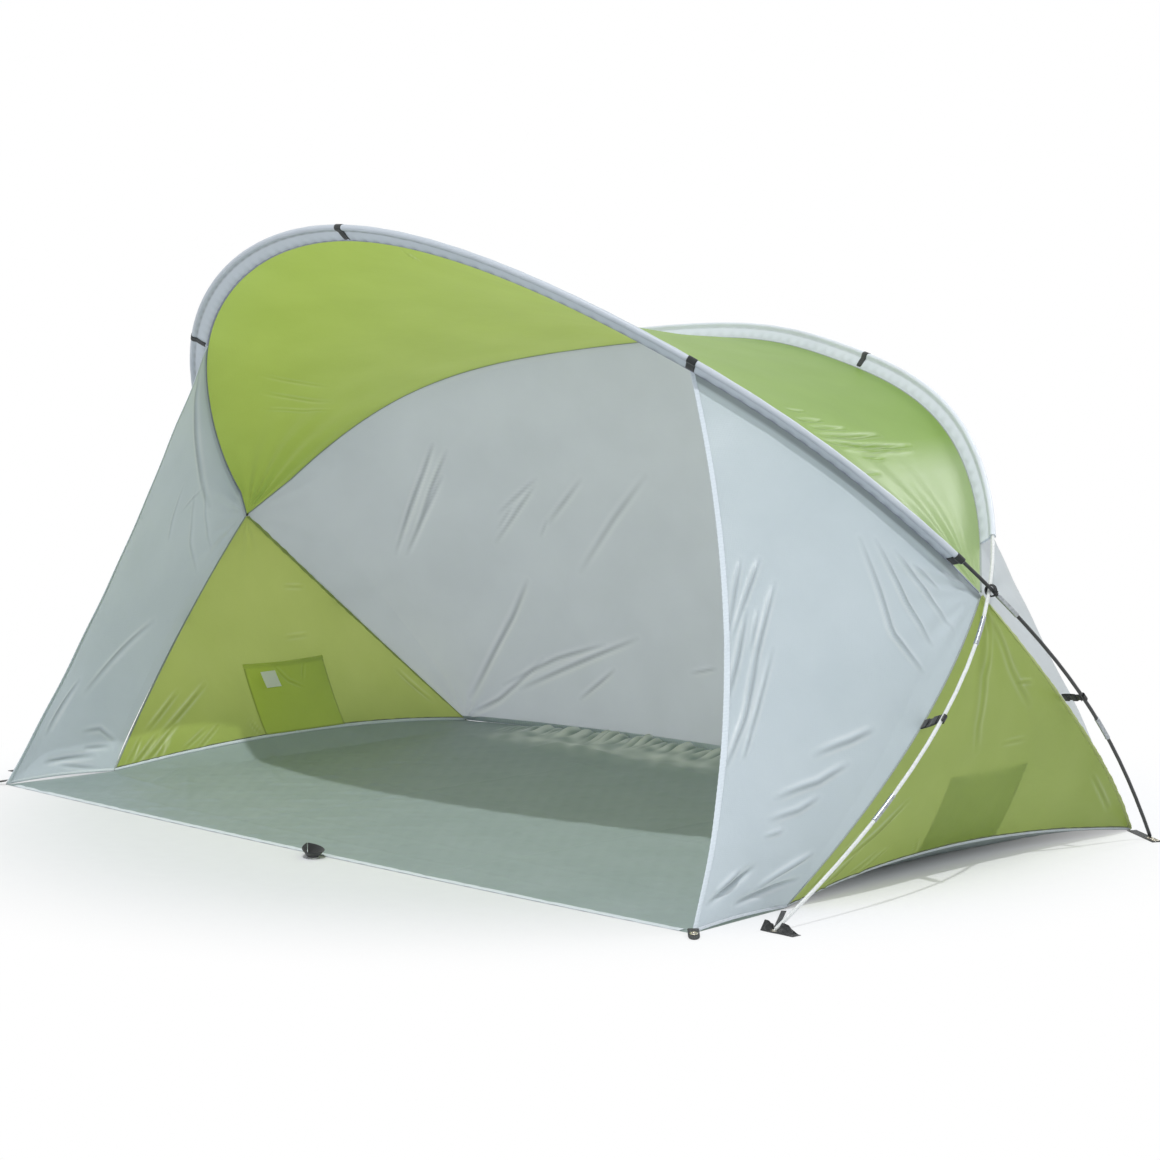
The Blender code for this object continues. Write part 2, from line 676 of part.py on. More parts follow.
def floor_grid():
    """The groundsheet: flat on the ground, its side and rear edges drawn up."""
    side_y = np.linspace(SIDE_CORNER_Y, REAR_CORNER_Y, FLOOR_ROWS + 1)
    hem = side_hem(FLOOR_ROWS)
    front_y = np.linspace(FRONT_CORNER_Y, SIDE_CORNER_Y, FRONT_ROWS + 1)[:-1]
    edges = []
    for y in np.concatenate([front_y, side_y]):
        if y < SIDE_CORNER_Y:
            share = (y - FRONT_CORNER_Y) / (SIDE_CORNER_Y - FRONT_CORNER_Y)
            edges.append(FRONT_CORNER * (1 - share) + SIDE_CORNER * share)
        else:
            edges.append(hem[np.argmin(np.abs(hem[:, 1] - y))])
    rear_start = REAR_CORNER_Y - FLOOR_REAR_RISE_WIDTH
    rows = []
    for row, edge in enumerate(edges):
        inner = edge[0] - FLOOR_RISE_WIDTH
        xs = [-edge[0], *np.linspace(-inner, inner, FLOOR_COLUMNS - 1), edge[0]]
        line = []
        for column, x in enumerate(xs):
            share = (x / edge[0] + 1) / 2
            back = min(max((edge[1] - rear_start) / FLOOR_REAR_RISE_WIDTH, 0), 1)
            z = share * (1 - share) * REAR_HEM_BOW[2] * back**FLOOR_RISE_POWER
            if column in (0, FLOOR_COLUMNS):
                z = edge[2]
            y = edge[1]
            if row == 0:
                y += FRONT_HEM_BOW[1] * share * (1 - share)
            line.append((x, y, z + CLOTH / 2))
        rows.append(line)
    return np.array(rows)


def peg_loop():
    """Webbing on edge in a closed loop, its two ends together at the hem."""
    hem_y = FRONT_CORNER_Y + FRONT_HEM_BOW[1] / 4
    base = np.array([LOOP_X, hem_y - LOOP_GAP, 0])
    heading = np.array([math.cos(LOOP_TURN), math.sin(LOOP_TURN), 0])
    side = np.array([-heading[1], heading[0], 0])
    plan = []
    for i in range(LOOP_STEPS + 1):
        t = i / LOOP_STEPS
        reach = LOOP_LENGTH * math.sin(math.pi * t)
        swell = math.sin(math.tau * t)
        plan.append(base + heading * reach + side * (LOOP_HALF_WIDTH * swell + LOOP_END_GAP * (1 - 2 * t)))
    plan = np.array(plan)
    low = np.array([0, 0, REST_CLEARANCE])
    sheet("front_peg_loop", [plan + low, plan + low + np.array([0, 0, WEBBING_WIDTH])], LOOP_CLOTH, BLACK)
    PIVOTS["front_peg_loop"] = base


GREEN_OUT = ((0.33, 0.47, 0.17), 0.75)
GREEN_IN = ((0.24, 0.33, 0.10), 0.75)
GREY_OUT = ((0.50, 0.56, 0.61), 0.75)
GREY_IN = ((0.43, 0.48, 0.49), 0.75)
FLOOR_GREY = ((0.24, 0.32, 0.30), 0.7)
BLACK = ((0.02, 0.024, 0.024), 0.7)
BAND_BLACK = ((0.045, 0.05, 0.055), 0.8)
BLACK_ROD = ((0.03, 0.03, 0.03), 0.35)
PALE_ROD = ((0.68, 0.70, 0.70), 0.35)
WHITE = ((0.72, 0.76, 0.80), 0.7)
PLASTIC = ((0.015, 0.015, 0.016), 0.4)


def build_cloth():
    front = front_stations()
    rear = rear_stations()
    pole_sleeve("front_sleeve", FRONT_ARCH, front, FRONT_SEAM_DEPTH, 0, GREY_OUT)
    pole_sleeve("rear_sleeve", REAR_ARCH, rear, REAR_SEAM_DEPTH, REAR_SEAM_TILT, GREY_OUT)
    front_line = seam_line(FRONT_ARCH, front, FRONT_SEAM_DEPTH, 0)
    rear_line = seam_line(REAR_ARCH, rear, REAR_SEAM_DEPTH, REAR_SEAM_TILT)
    v = np.linspace(0, 1, ROOF_STEPS + 1)[:, None, None]
    roof = front_line[None] * (1 - v) + rear_line[None] * v
    span = np.linalg.norm(rear_line - front_line, axis=1)[None, :, None]
    up = unit(np.cross(np.gradient(roof, axis=0), np.gradient(roof, axis=1)))
    up *= np.sign(up[..., 2:])
    roof -= up * span * ROOF_SAG_SHARE * 4 * v * (1 - v)
    ends = dict(left=SEAM_CLEARANCE, right=SEAM_CLEARANCE)
    sheet("roof_panel", inset(roof, low=SEAM_CLEARANCE, high=SEAM_CLEARANCE, **ends), CLOTH, GREEN_OUT)

    side_rear = bowed(REAR_CORNER + hem_lift(), APEX, SIDE_REAR_BOW, WALL_STEPS)
    side_rear[-1] = rear_line[0]
    hem = bowed(REAR_CORNER, REAR_CORNER * MIRROR, REAR_HEM_BOW, len(rear_line) - 1) + hem_lift()
    wall = coons(hem, rear_line, side_rear, side_rear * MIRROR)
    sheet("back_wall", inset(wall, high=SEAM_CLEARANCE, **ends), CLOTH, GREY_IN)

    side = side_panel_grid()
    pocket = pocket_grid(side)
    top = [seam(FRONT_ARCH, s, FRONT_SEAM_DEPTH, 0) for s in front[: WING_STEPS + 1][::-1]]
    top = np.array([*top, towards(APEX, top[-1], APEX_CUT)])
    rear_edge = bowed(SIDE_CORNER + hem_lift(), APEX, SIDE_FRONT_BOW, WING_ROWS)
    rear_edge[-1] = top[-1]
    low = bowed(FRONT_CORNER + hem_lift(), SIDE_CORNER + hem_lift(), WING_HEM_BOW, WING_STEPS + 1)
    edge = bowed(top[0], FRONT_CORNER + hem_lift(), WING_EDGE_BOW, WING_ROWS)[::-1]
    wing = coons(low, top, edge, rear_edge)
    u = np.linspace(0, 1, WING_STEPS + 2)[None, :, None]
    rise = np.linspace(0, 1, WING_ROWS + 1)[:, None, None]
    out = unit(np.cross(np.gradient(wing, axis=1), np.gradient(wing, axis=0)))
    wave = np.sin(math.tau * WING_FOLD_WAVES * u) * np.sin(math.pi * u) * np.sin(math.pi * rise)
    wing += out * WING_FOLD * wave
    wing = inset(wing, right=SEAM_CLEARANCE, high=SEAM_CLEARANCE)
    for mirrored, name in ((False, "right"), (True, "left")):
        sheet(f"side_panel_{name}", side, CLOTH, GREEN_OUT, mirrored)
        sheet(f"wing_{name}", wing, CLOTH, GREY_OUT, mirrored)
        sheet(f"pocket_{name}", pocket, CLOTH, GREEN_IN, mirrored)
    label = label_grid(pocket)
    sheet("care_label", label, LABEL_CLOTH, WHITE, True)
    PIVOTS["care_label"] = label[0][1] * MIRROR
    floor = floor_grid()
    sheet("groundsheet", floor, CLOTH, FLOOR_GREY)
    middle = CLOTH + HEM_CLEARANCE + BAND_CLOTH / 2
    half = FRONT_CORNER_HALF_WIDTH - TAPE_END
    hem_line = bowed(FRONT_CORNER, FRONT_CORNER * MIRROR, FRONT_HEM_BOW, FLOOR_COLUMNS)[::-1]
    tape = []
    for back in (TAPE_BACK, TAPE_BACK + TAPE_WIDTH):
        row = []
        for x in np.linspace(-half, half, FLOOR_COLUMNS):
            row.append((x, np.interp(x, hem_line[:, 0], hem_line[:, 1]) + back, middle))
        tape.append(row)
    sheet("front_hem_tape", tape, BAND_CLOTH, WHITE)


def build_trim():
    front = front_stations()
    rear = rear_stations()
    on_front = (FRONT_SEAM_DEPTH, 0)
    on_rear = (REAR_SEAM_DEPTH, REAR_SEAM_TILT)
    sleeve_band("front_band_crown", FRONT_ARCH, front, FRONT_ARCH.length / 2, *on_front, BAND_BLACK)
    for mirrored, name in ((False, "right"), (True, "left")):
        sleeve_band(f"front_band_{name}", FRONT_ARCH, front, WING_CORNER, *on_front, BAND_BLACK, mirrored)
        sleeve_band(f"rear_band_{name}", REAR_ARCH, rear, REAR_BAND, *on_rear, BAND_BLACK, mirrored)
        start = FRONT_SLEEVE_START + PATCH_START + BAND_WIDTH / 2
        sleeve_band(f"sleeve_end_{name}", FRONT_ARCH, front, start, *on_front, BLACK, mirrored)
        cross = np.array([CROSSING_HALF_WIDTH, CROSSING_Y, CROSSING_Z])
        ring(f"crossing_tie_{name}", cross, TIE_HALF_WIDTH, TIE_HALF_HEIGHT, TIE_CORD, BLACK, mirrored)
        fine = SPLINE_POINTS
        front_seam = bowed(APEX, SIDE_CORNER + hem_lift(), SIDE_FRONT_BOW, fine)
        rear_seam = bowed(APEX, REAR_CORNER + hem_lift(), SIDE_REAR_BOW, fine)
        strap("front_leg", REAR_ARCH, REAR_ARCH_HOOK, front_seam, mirrored)
        strap("rear_leg", FRONT_ARCH, FRONT_ARCH_HOOK, rear_seam, mirrored)
        half = WEBBING_WIDTH / 2
        for prefix, arch, corner, gap in (
            ("front", REAR_ARCH, SIDE_CORNER, FRONT_TAB_GAP),
            ("rear", FRONT_ARCH, REAR_CORNER, REAR_TAB_GAP),
        ):
            foot = arch.at(0) + arch.tangent(0) * (TIP_START + TIP_END) / 2
            foot[2] = 0
            link = corner - foot
            inner = math.atan2(link[1], link[0])
            arms = [(inner, np.linalg.norm(link) - gap, half)]
            if prefix == "front":
                arms += [(0, FRONT_TAB_OUT, half), (math.pi, FRONT_TAB_IN, half)]
            else:
                arms += [(inner + math.pi, REAR_TAB_OUT, half)]
            holed_plate(f"{prefix}_foot_tab_{name}", foot, arms, 0, BLACK, mirrored)
        heading = np.array([math.cos(CORNER_TAB_HEADING), math.sin(CORNER_TAB_HEADING), 0])
        slope = CORNER_TAB_LIFT / CORNER_TAB_LENGTH
        reach = CORNER_TAB_LENGTH / 2
        wing_top = seam(FRONT_ARCH, WING_CORNER, FRONT_SEAM_DEPTH, 0)
        wing_edge = bowed(wing_top, FRONT_CORNER + hem_lift(), WING_EDGE_BOW, SPLINE_POINTS)
        root = wing_edge[np.argmin(np.abs(wing_edge[:, 2] - CORNER_TAB_LIFT))] + heading * CORNER_TAB_GAP
        centre = root + heading * reach
        centre[2] = CORNER_TAB_LIFT / 2
        arms = [(CORNER_TAB_HEADING, reach, half), (CORNER_TAB_HEADING + math.pi, reach, half)]
        holed_plate(f"corner_tab_{name}", centre, arms, slope, BLACK, mirrored)
        PIVOTS[f"corner_tab_{name}"] = root * MIRROR if mirrored else root
    peg_loop()


def main():
    for old in list(bpy.data.objects):
        bpy.data.objects.remove(old)
    pole("front_pole", FRONT_ARCH, front_stations(), FRONT_SECTIONS, FRONT_LEG_SECTION, BLACK_ROD)
    pole("rear_pole", REAR_ARCH, rear_stations(), REAR_SECTIONS, REAR_LEG_SECTION, PALE_ROD)
    build_cloth()
    build_trim()
    place()


main()
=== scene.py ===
"""Beach tent of thin polyester hung from two crossing arch poles, on a pale studio floor.

Shapes are laid out, as in the part's source, from the middle of the line between the two front feet.
make() moves them to the part's origin. Lengths are in metres, and each cloth's UV map is in metres too.
"""

import math

import bpy
import numpy as np
from mathutils import Matrix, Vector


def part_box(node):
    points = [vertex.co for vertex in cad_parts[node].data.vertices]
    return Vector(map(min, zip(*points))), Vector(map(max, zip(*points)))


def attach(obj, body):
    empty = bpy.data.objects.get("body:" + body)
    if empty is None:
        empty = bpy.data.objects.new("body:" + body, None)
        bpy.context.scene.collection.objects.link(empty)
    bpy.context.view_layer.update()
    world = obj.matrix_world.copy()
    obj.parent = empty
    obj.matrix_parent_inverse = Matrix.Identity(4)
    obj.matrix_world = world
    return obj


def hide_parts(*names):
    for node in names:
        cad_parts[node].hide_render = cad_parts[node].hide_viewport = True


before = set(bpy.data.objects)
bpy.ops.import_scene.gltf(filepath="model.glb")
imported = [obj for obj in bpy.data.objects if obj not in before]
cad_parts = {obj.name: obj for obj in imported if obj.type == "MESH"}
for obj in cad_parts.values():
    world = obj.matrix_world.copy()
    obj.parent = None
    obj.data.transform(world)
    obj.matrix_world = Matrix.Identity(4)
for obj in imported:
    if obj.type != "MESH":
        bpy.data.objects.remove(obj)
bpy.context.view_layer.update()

ORIGIN = np.array([0.0, 0.50256, 0.0])
MIRROR = np.array([-1.0, 1.0, 1.0])
SPLINE_POINTS = 3001

# Arches and seams, as in the part's source
HALF_WIDTH = 1.100
REAR_FOOT_Y = 1.096
FRONT_CROWN = (-0.010, 1.167)
REAR_CROWN = (1.064, 0.947)
CROSSING = np.array([1.0765, 0.5886, 0.5224])
CROSSING_OFFSET = 0.0041
FRONT_LEG_SHARES = ((0.954, 0.0, 0.0), (0.9855, 0.1946, 0.2242))
FRONT_TOP_SHARES = ((0.8155, 0.6973, 0.6827), (0.6058, 0.8477, 0.8318), (0.0, 1.0, 1.0))
REAR_LEG_SHARES = ((1.0, 0.0, 0.0), (1.0275, 0.3174, 0.2757))
REAR_TOP_SHARES = ((0.7525, 0.7553, 0.8290), (0.3364, 0.9191, 0.9679), (0.0, 1.0, 1.0))
FRONT_SLEEVE_START = 0.817
REAR_SLEEVE_START = 0.923
FRONT_SEAM_DEPTH = 0.034
REAR_SEAM_DEPTH = 0.030
REAR_SEAM_TILT = math.radians(17)
SLEEVE_RADIUS = 0.0056
WING_CORNER = 1.420
REAR_BAND = 1.643
BAND_WIDTH = 0.018
END_SECTION = 0.309
FRONT_LEG_SECTION = 0.384
REAR_LEG_SECTION = 0.399
FERRULE_LENGTH = 0.060
APEX = CROSSING - np.array([0.0165, 0.0086, 0.0074])
APEX_CUT = 0.006
FRONT_CORNER = np.array([1.013, -0.103, 0.0])
SIDE_CORNER = np.array([0.985, 0.153, 0.0])
REAR_CORNER = np.array([0.966, 1.140, 0.0])
FRONT_HEM_BOW = (0.0, -0.060, 0.0)
SIDE_HEM_BOW = (-0.132, 0.0, 0.132)
REAR_HEM_BOW = (0.0, 0.0, 0.088)
WING_EDGE_BOW = (0.151, 0.175, -0.084)
WING_HEM_BOW = (0.0, 0.0, 0.020)
SIDE_FRONT_BOW = (0.160, 0.092, 0.038)
SIDE_REAR_BOW = (0.080, 0.213, -0.144)
LIFT = np.array([0, 0, 0.0015])
SIDE_BULGE = 0.016
ROOF_SAG_SHARE = 0.04
WEBBING_WIDTH = 0.020
# No point of the tent lies lower than this.
GROUND_GAP = 0.0002
# Each side of the tent, and whether its pieces are mirrored.
HANDS = (("right", False), ("left", True))

# How finely the cloth is drawn
FINE = 14
WING_CELLS = 9 * FINE
CREST_CELLS = 22 * FINE
END_CELLS = 10
ROOF_ROWS, WALL_ROWS, SIDE_CELLS, WING_ROWS = 150, 170, 170, 230


def unit(vector):
    return vector / np.linalg.norm(vector, axis=-1, keepdims=True)


def lengths_along(points):
    """How far along their line each point lies."""
    return np.concatenate([[0], np.cumsum(np.linalg.norm(np.diff(points, axis=0), axis=1))])


def spline(knots):
    """Points along a smooth cubic curve through the knots."""
    at = lengths_along(knots)
    step = np.diff(at)
    slope = np.diff(knots, axis=0) / step[:, None]
    count = len(knots)
    system = np.eye(count)
    target = np.zeros_like(knots)
    for i in range(1, count - 1):
        system[i, i - 1] = step[i - 1]
        system[i, i] = 2 * (step[i - 1] + step[i])
        system[i, i + 1] = step[i]
        target[i] = 6 * (slope[i] - slope[i - 1])
    system[0, :3] = (step[1], -step[0] - step[1], step[0])
    system[-1, -3:] = (step[-1], -step[-1] - step[-2], step[-2])
    bend = np.linalg.solve(system, target)
    where = np.linspace(0, at[-1], SPLINE_POINTS)
    i = np.clip(np.searchsorted(at, where, side="right") - 1, 0, count - 2)
    t = (where - at[i])[:, None]
    h = step[i][:, None]
    rest = h - t
    cubic = (bend[i] * rest**3 + bend[i + 1] * t**3) / (6 * h)
    return cubic + (knots[i] / h - bend[i] * h / 6) * rest + (knots[i + 1] / h - bend[i + 1] * h / 6) * t


class Arch:
    """A pole's axis from its right foot over the crown to its left foot."""

    def __init__(self, leg_shares, crossing_x, top_shares, foot_y, crown):
        size = np.array([HALF_WIDTH, crown[0] - foot_y, crown[1]])
        foot = np.array([0, foot_y, 0])
        crossed = np.array([crossing_x, *CROSSING[1:]])
        right = [*(foot + np.array(leg_shares) * size), crossed, *(foot + np.array(top_shares) * size)]
        left = [knot * MIRROR for knot in right[-2::-1]]
        self.points = spline(np.array(right + left))
        self.arc = lengths_along(self.points)
        self.tangents = unit(np.gradient(self.points, self.arc, axis=0))
        self.length = self.arc[-1]
        rise = unit(np.array([0, crown[0] - foot_y, crown[1]]))
        self.back = np.array([0, rise[2], -rise[1]])

    def tangent(self, s):
        return unit(np.array([np.interp(s, self.arc, column) for column in self.tangents.T]))

    def at(self, s):
        inside = min(max(s, 0), self.length)
        point = np.array([np.interp(inside, self.arc, column) for column in self.points.T])
        return point + (s - inside) * self.tangent(inside)

    def place(self, s, tilt, profile):
        """Profile points (depth towards the seam, distance towards the back) at one place on the arch."""
        along = self.tangent(s)
        inward = unit(np.cross(along, self.back))
        back = np.cross(inward, along)
        depth = math.cos(tilt) * inward + math.sin(tilt) * back
        side = math.cos(tilt) * back - math.sin(tilt) * inward
        return self.at(s) + np.outer(profile[:, 0], depth) + np.outer(profile[:, 1], side)


FRONT_ARCH = Arch(FRONT_LEG_SHARES, CROSSING[0] + CROSSING_OFFSET, FRONT_TOP_SHARES, REAR_FOOT_Y, FRONT_CROWN)
REAR_ARCH = Arch(REAR_LEG_SHARES, CROSSING[0] - CROSSING_OFFSET, REAR_TOP_SHARES, 0, REAR_CROWN)


def front_stations():
    """Places along the front pole at which the cloth has points: three runs that meet at the wings' corners."""
    start = FRONT_SLEEVE_START
    corner = FRONT_ARCH.length - WING_CORNER
    low = np.linspace(start, WING_CORNER, WING_CELLS + 1)
    middle = np.linspace(WING_CORNER, corner, CREST_CELLS + 1)
    high = np.linspace(corner, FRONT_ARCH.length - start, WING_CELLS + 1)
    return np.concatenate([low, middle[1:-1], high])


def bowed(start, end, bow, count):
    share = np.linspace(0, 1, count + 1)[:, None]
    return start * (1 - share) + end * share + np.array(bow) * share * (1 - share)


def coons(low, high, left, right):
    """A grid between four edges: low and high run left to right, left and right run low to high."""
    u = np.linspace(0, 1, len(low))[None, :, None]
    v = np.linspace(0, 1, len(left))[:, None, None]
    ruled = (1 - v) * low[None] + v * high[None] + (1 - u) * left[:, None] + u * right[:, None]
    corners = (1 - u) * (1 - v) * low[0] + u * (1 - v) * low[-1] + (1 - u) * v * high[0] + u * v * high[-1]
    return ruled - corners


def towards(start, end, distance):
    return start + unit(end - start) * distance


def seam_line(arch, stations, depth, tilt):
    """The seam under a sleeve, carried on to the apex at each end."""
    line = np.array([arch.place(s, tilt, np.array([(depth, 0)]))[0] for s in stations])
    first = towards(APEX, line[0], APEX_CUT)
    last = towards(APEX * MIRROR, line[-1], APEX_CUT)
    start = bowed(first, line[0], (0, 0, 0), END_CELLS)
    end = bowed(line[-1], last, (0, 0, 0), END_CELLS)
    return np.concatenate([start[:-1], line, end[1:]])


FRONT_STATIONS = front_stations()
REAR_STATIONS = np.linspace(REAR_SLEEVE_START, REAR_ARCH.length - REAR_SLEEVE_START, 2 * WING_CELLS + CREST_CELLS + 1)
FRONT_LINE = seam_line(FRONT_ARCH, FRONT_STATIONS, FRONT_SEAM_DEPTH, 0)
REAR_LINE = seam_line(REAR_ARCH, REAR_STATIONS, REAR_SEAM_DEPTH, REAR_SEAM_TILT)


def normals(grid):
    found = np.cross(np.gradient(grid, axis=1), np.gradient(grid, axis=0))
    return found / np.maximum(np.linalg.norm(found, axis=-1, keepdims=True), 1e-12)


def roof_grid():
    v = np.linspace(0, 1, ROOF_ROWS + 1)[:, None, None]
    roof = FRONT_LINE[None] * (1 - v) + REAR_LINE[None] * v
    span = np.linalg.norm(REAR_LINE - FRONT_LINE, axis=1)[None, :, None]
    up = normals(roof)
    up *= np.sign(up[..., 2:])
    return roof - up * span * ROOF_SAG_SHARE * 4 * v * (1 - v)


def wall_grid():
    side = bowed(REAR_CORNER + LIFT, APEX, SIDE_REAR_BOW, WALL_ROWS)
    side[-1] = REAR_LINE[0]
    hem = bowed(REAR_CORNER, REAR_CORNER * MIRROR, REAR_HEM_BOW, len(REAR_LINE) - 1) + LIFT
    return coons(hem, REAR_LINE, side, side * MIRROR)


def side_grid():
    front = bowed(APEX, SIDE_CORNER + LIFT, SIDE_FRONT_BOW, SIDE_CELLS)[::-1]
    rear = bowed(APEX, REAR_CORNER + LIFT, SIDE_REAR_BOW, SIDE_CELLS)[::-1]
    front[-1] = towards(APEX, front[-2], APEX_CUT)
    rear[-1] = towards(APEX, rear[-2], APEX_CUT)
    hem = bowed(SIDE_CORNER, REAR_CORNER, SIDE_HEM_BOW, SIDE_CELLS) + LIFT
    grid = coons(hem, bowed(front[-1], rear[-1], (0, 0, 0), SIDE_CELLS), front, rear)
    u = np.linspace(0, 1, SIDE_CELLS + 1)[None, :]
    v = np.linspace(0, 1, SIDE_CELLS + 1)[:, None]
    grid[..., 0] += SIDE_BULGE * 4 * u * (1 - u) * np.sin(math.pi * v)
    return grid


def wing_grid():
    top = FRONT_LINE[: END_CELLS + WING_CELLS + 1][::-1]
    rear_edge = bowed(SIDE_CORNER + LIFT, APEX, SIDE_FRONT_BOW, WING_ROWS)
    rear_edge[-1] = top[-1]
    low = bowed(FRONT_CORNER + LIFT, SIDE_CORNER + LIFT, WING_HEM_BOW, len(top) - 1)
    edge = bowed(top[0], FRONT_CORNER + LIFT, WING_EDGE_BOW, WING_ROWS)[::-1]
    return coons(low, top, edge, rear_edge)


FLOOR_ROWS, FLOOR_COLUMNS = 170, 420
FLOOR_RISE_WIDTH = 0.075
FLOOR_REAR_RISE_WIDTH = 0.240
FLOOR_HEIGHT = 0.0004


def floor_grid():
    """The groundsheet: flat on the ground, its side and rear edges drawn up to the panels' hems."""
    hem = bowed(SIDE_CORNER, REAR_CORNER, SIDE_HEM_BOW, 400)
    y = np.linspace(FRONT_CORNER[1], REAR_CORNER[1], FLOOR_ROWS + 1)
    side_x = np.interp(y, hem[:, 1], hem[:, 0])
    side_z = np.interp(y, hem[:, 1], hem[:, 2])
    front = y < SIDE_CORNER[1]
    slant = (y - FRONT_CORNER[1]) / (SIDE_CORNER[1] - FRONT_CORNER[1])
    side_x = np.where(front, FRONT_CORNER[0] * (1 - slant) + SIDE_CORNER[0] * slant, side_x)
    side_z = np.where(front, 0, side_z)
    share = np.linspace(0, 1, FLOOR_COLUMNS + 1)[None, :]
    x = side_x[:, None] * (2 * share - 1)
    back = np.clip((y - REAR_CORNER[1] + FLOOR_REAR_RISE_WIDTH) / FLOOR_REAR_RISE_WIDTH, 0, 1)[:, None]
    rear = share * (1 - share) * REAR_HEM_BOW[2] * back**1.5
    climb = np.clip((np.abs(x) - side_x[:, None] + FLOOR_RISE_WIDTH) / FLOOR_RISE_WIDTH, 0, 1) ** 1.2
    z = rear + (side_z[:, None] - rear) * climb + FLOOR_HEIGHT
    hem_bow = FRONT_HEM_BOW[1] * share * (1 - share)
    fade = np.clip(1 - slant, 0, 1)[:, None]
    return np.stack([x, y[:, None] + hem_bow * fade, z], axis=-1)


def sample(grid, shares):
    """Points of the grid at (u, v) shares of its columns and rows."""
    rows, columns = grid.shape[:2]
    u = np.clip(shares[:, 0], 0, 1) * (columns - 1)
    v = np.clip(shares[:, 1], 0, 1) * (rows - 1)
    c = np.minimum(u.astype(int), columns - 2)
    r = np.minimum(v.astype(int), rows - 2)
    s = (u - c)[:, None]
    t = (v - r)[:, None]
    low = grid[r, c] * (1 - s) + grid[r, c + 1] * s
    high = grid[r + 1, c] * (1 - s) + grid[r + 1, c + 1] * s
    return low * (1 - t) + high * t


def ripple(points, wave, seed):
    """Smooth uneven height from about -1 to 1 over points in space. wave is the usual distance of crests."""
    total = 0
    for k in range(5):
        heading = (math.sin(seed + 2.1 * k), math.cos(1.7 * seed + 3.3 * k), math.sin(2.9 * seed + 1.3 * k))
        turn = points @ unit(np.array(heading)) * math.tau / (wave * (0.7 + 0.16 * k))
        total = total + np.sin(turn + 5.1 * seed + 1.9 * k)
    return total * 0.32


def away_from_edges(grid, width, free=()):
    """1 on the inside of the cloth, falling to 0 at its sewn edges over about this width."""
    rows, columns = grid.shape[:2]
    u = np.arange(columns)[None, :] + np.zeros((rows, 1))
    v = np.arange(rows)[:, None] + np.zeros((1, columns))
    across = np.linalg.norm(grid[:, 1:] - grid[:, :-1], axis=2).mean(axis=1)[:, None]
    along = np.linalg.norm(grid[1:] - grid[:-1], axis=2).mean(axis=0)[None, :]
    reach = {"left": u * across, "right": (columns - 1 - u) * across,
             "low": v * along, "high": (rows - 1 - v) * along}
    inside = 1.0
    for edge, distance in reach.items():
        if edge not in free:
            inside = inside * np.clip(distance / width, 0, 1) ** 0.8
    return inside


# Creases are drawn narrower than they were read, because their edges are soft in the photo.
SHARPNESS = 0.68
# A crease's path has this many points to each of its knots.
POINTS_PER_KNOT = 6
# A crease this high gets its painted shade and highlight in full, and a higher one at most this many times as
# strongly.
FULL_CREASE = 0.006
DEEPEST_CREASE = 1.3
# Tension folds begin this far from the corner that they run out from.
TENSION_START = 0.03


def folded(grid, folds, free=(), width=0.030, tension=()):
    """The cloth with its folds, and its painted tone: shade in each fold's pinched middle, highlight on its flanks. A
    fold is (shares, half width, height).
    """
    moved = np.zeros(grid.shape[:2])
    tone = np.zeros(grid.shape[:2])
    flat = grid.reshape(-1, 3)
    for shares, half, height in folds:
        shares = np.array(shares)
        half = half * SHARPNESS
        t = np.linspace(0, 1, POINTS_PER_KNOT * len(shares))
        knots = np.linspace(0, 1, len(shares))
        path = sample(grid, np.column_stack([np.interp(t, knots, column) for column in shares.T]))
        near = np.full(len(flat), np.inf)
        where = np.zeros(len(flat))
        for i in range(len(path) - 1):
            step = path[i + 1] - path[i]
            share = np.clip((flat - path[i]) @ step / (step @ step), 0, 1)
            distance = np.linalg.norm(flat - path[i] - share[:, None] * step, axis=1)
            closer = distance < near
            near = np.where(closer, distance, near)
            where = np.where(closer, (i + share) / (len(path) - 1), where)
        taper = np.sin(math.pi * np.clip(where, 0.02, 0.98)) ** 0.7
        moved += height * (np.exp(-((near / half) ** 1.4)) * taper).reshape(moved.shape)
        # Painted shade along the fold's pinched middle, painted highlight on its flanks.
        pinched = np.exp(-((near / (0.55 * half)) ** 2))
        flank = np.exp(-(((near - 1.1 * half) / (0.5 * half)) ** 2))
        strength = min(abs(height) / FULL_CREASE, DEEPEST_CREASE)
        tone += (strength * taper * (0.45 * flank - pinched)).reshape(moved.shape)
    for apex, count, reach, height in tension:
        apex_point = sample(grid, np.array([apex]))[0]
        away = grid - apex_point
        distance = np.linalg.norm(away, axis=-1)
        rows, columns = moved.shape
        c = min(max(int(apex[0] * (columns - 1)), 1), columns - 2)
        r = min(max(int(apex[1] * (rows - 1)), 1), rows - 2)
        face = normals(grid)[r, c]
        first = unit(np.cross(face, (0.31, 0.84, 0.42)))
        second = np.cross(face, first)
        turn = np.arctan2(away @ first, away @ second)
        grow = np.clip(distance / TENSION_START, 0, 1) * np.exp(-((distance / reach) ** 2))
        uneven = 0.6 + 0.4 * np.sin(turn * 5 + count)
        moved += height * grow * uneven * np.sin(turn * count + 0.6 * np.sin(distance * 9))
    inside = away_from_edges(grid, width, free)
    return grid + normals(grid) * (moved * inside)[..., None], np.clip(tone, -1, 1) * inside


# Materials

def linear(colour):
    """An sRGB hex colour as the linear values that a shader takes."""
    channels = [int(colour[i : i + 2], 16) / 255 for i in (1, 3, 5)]
    return (*[c / 12.92 if c <= 0.04045 else ((c + 0.055) / 1.055) ** 2.4 for c in channels], 1.0)


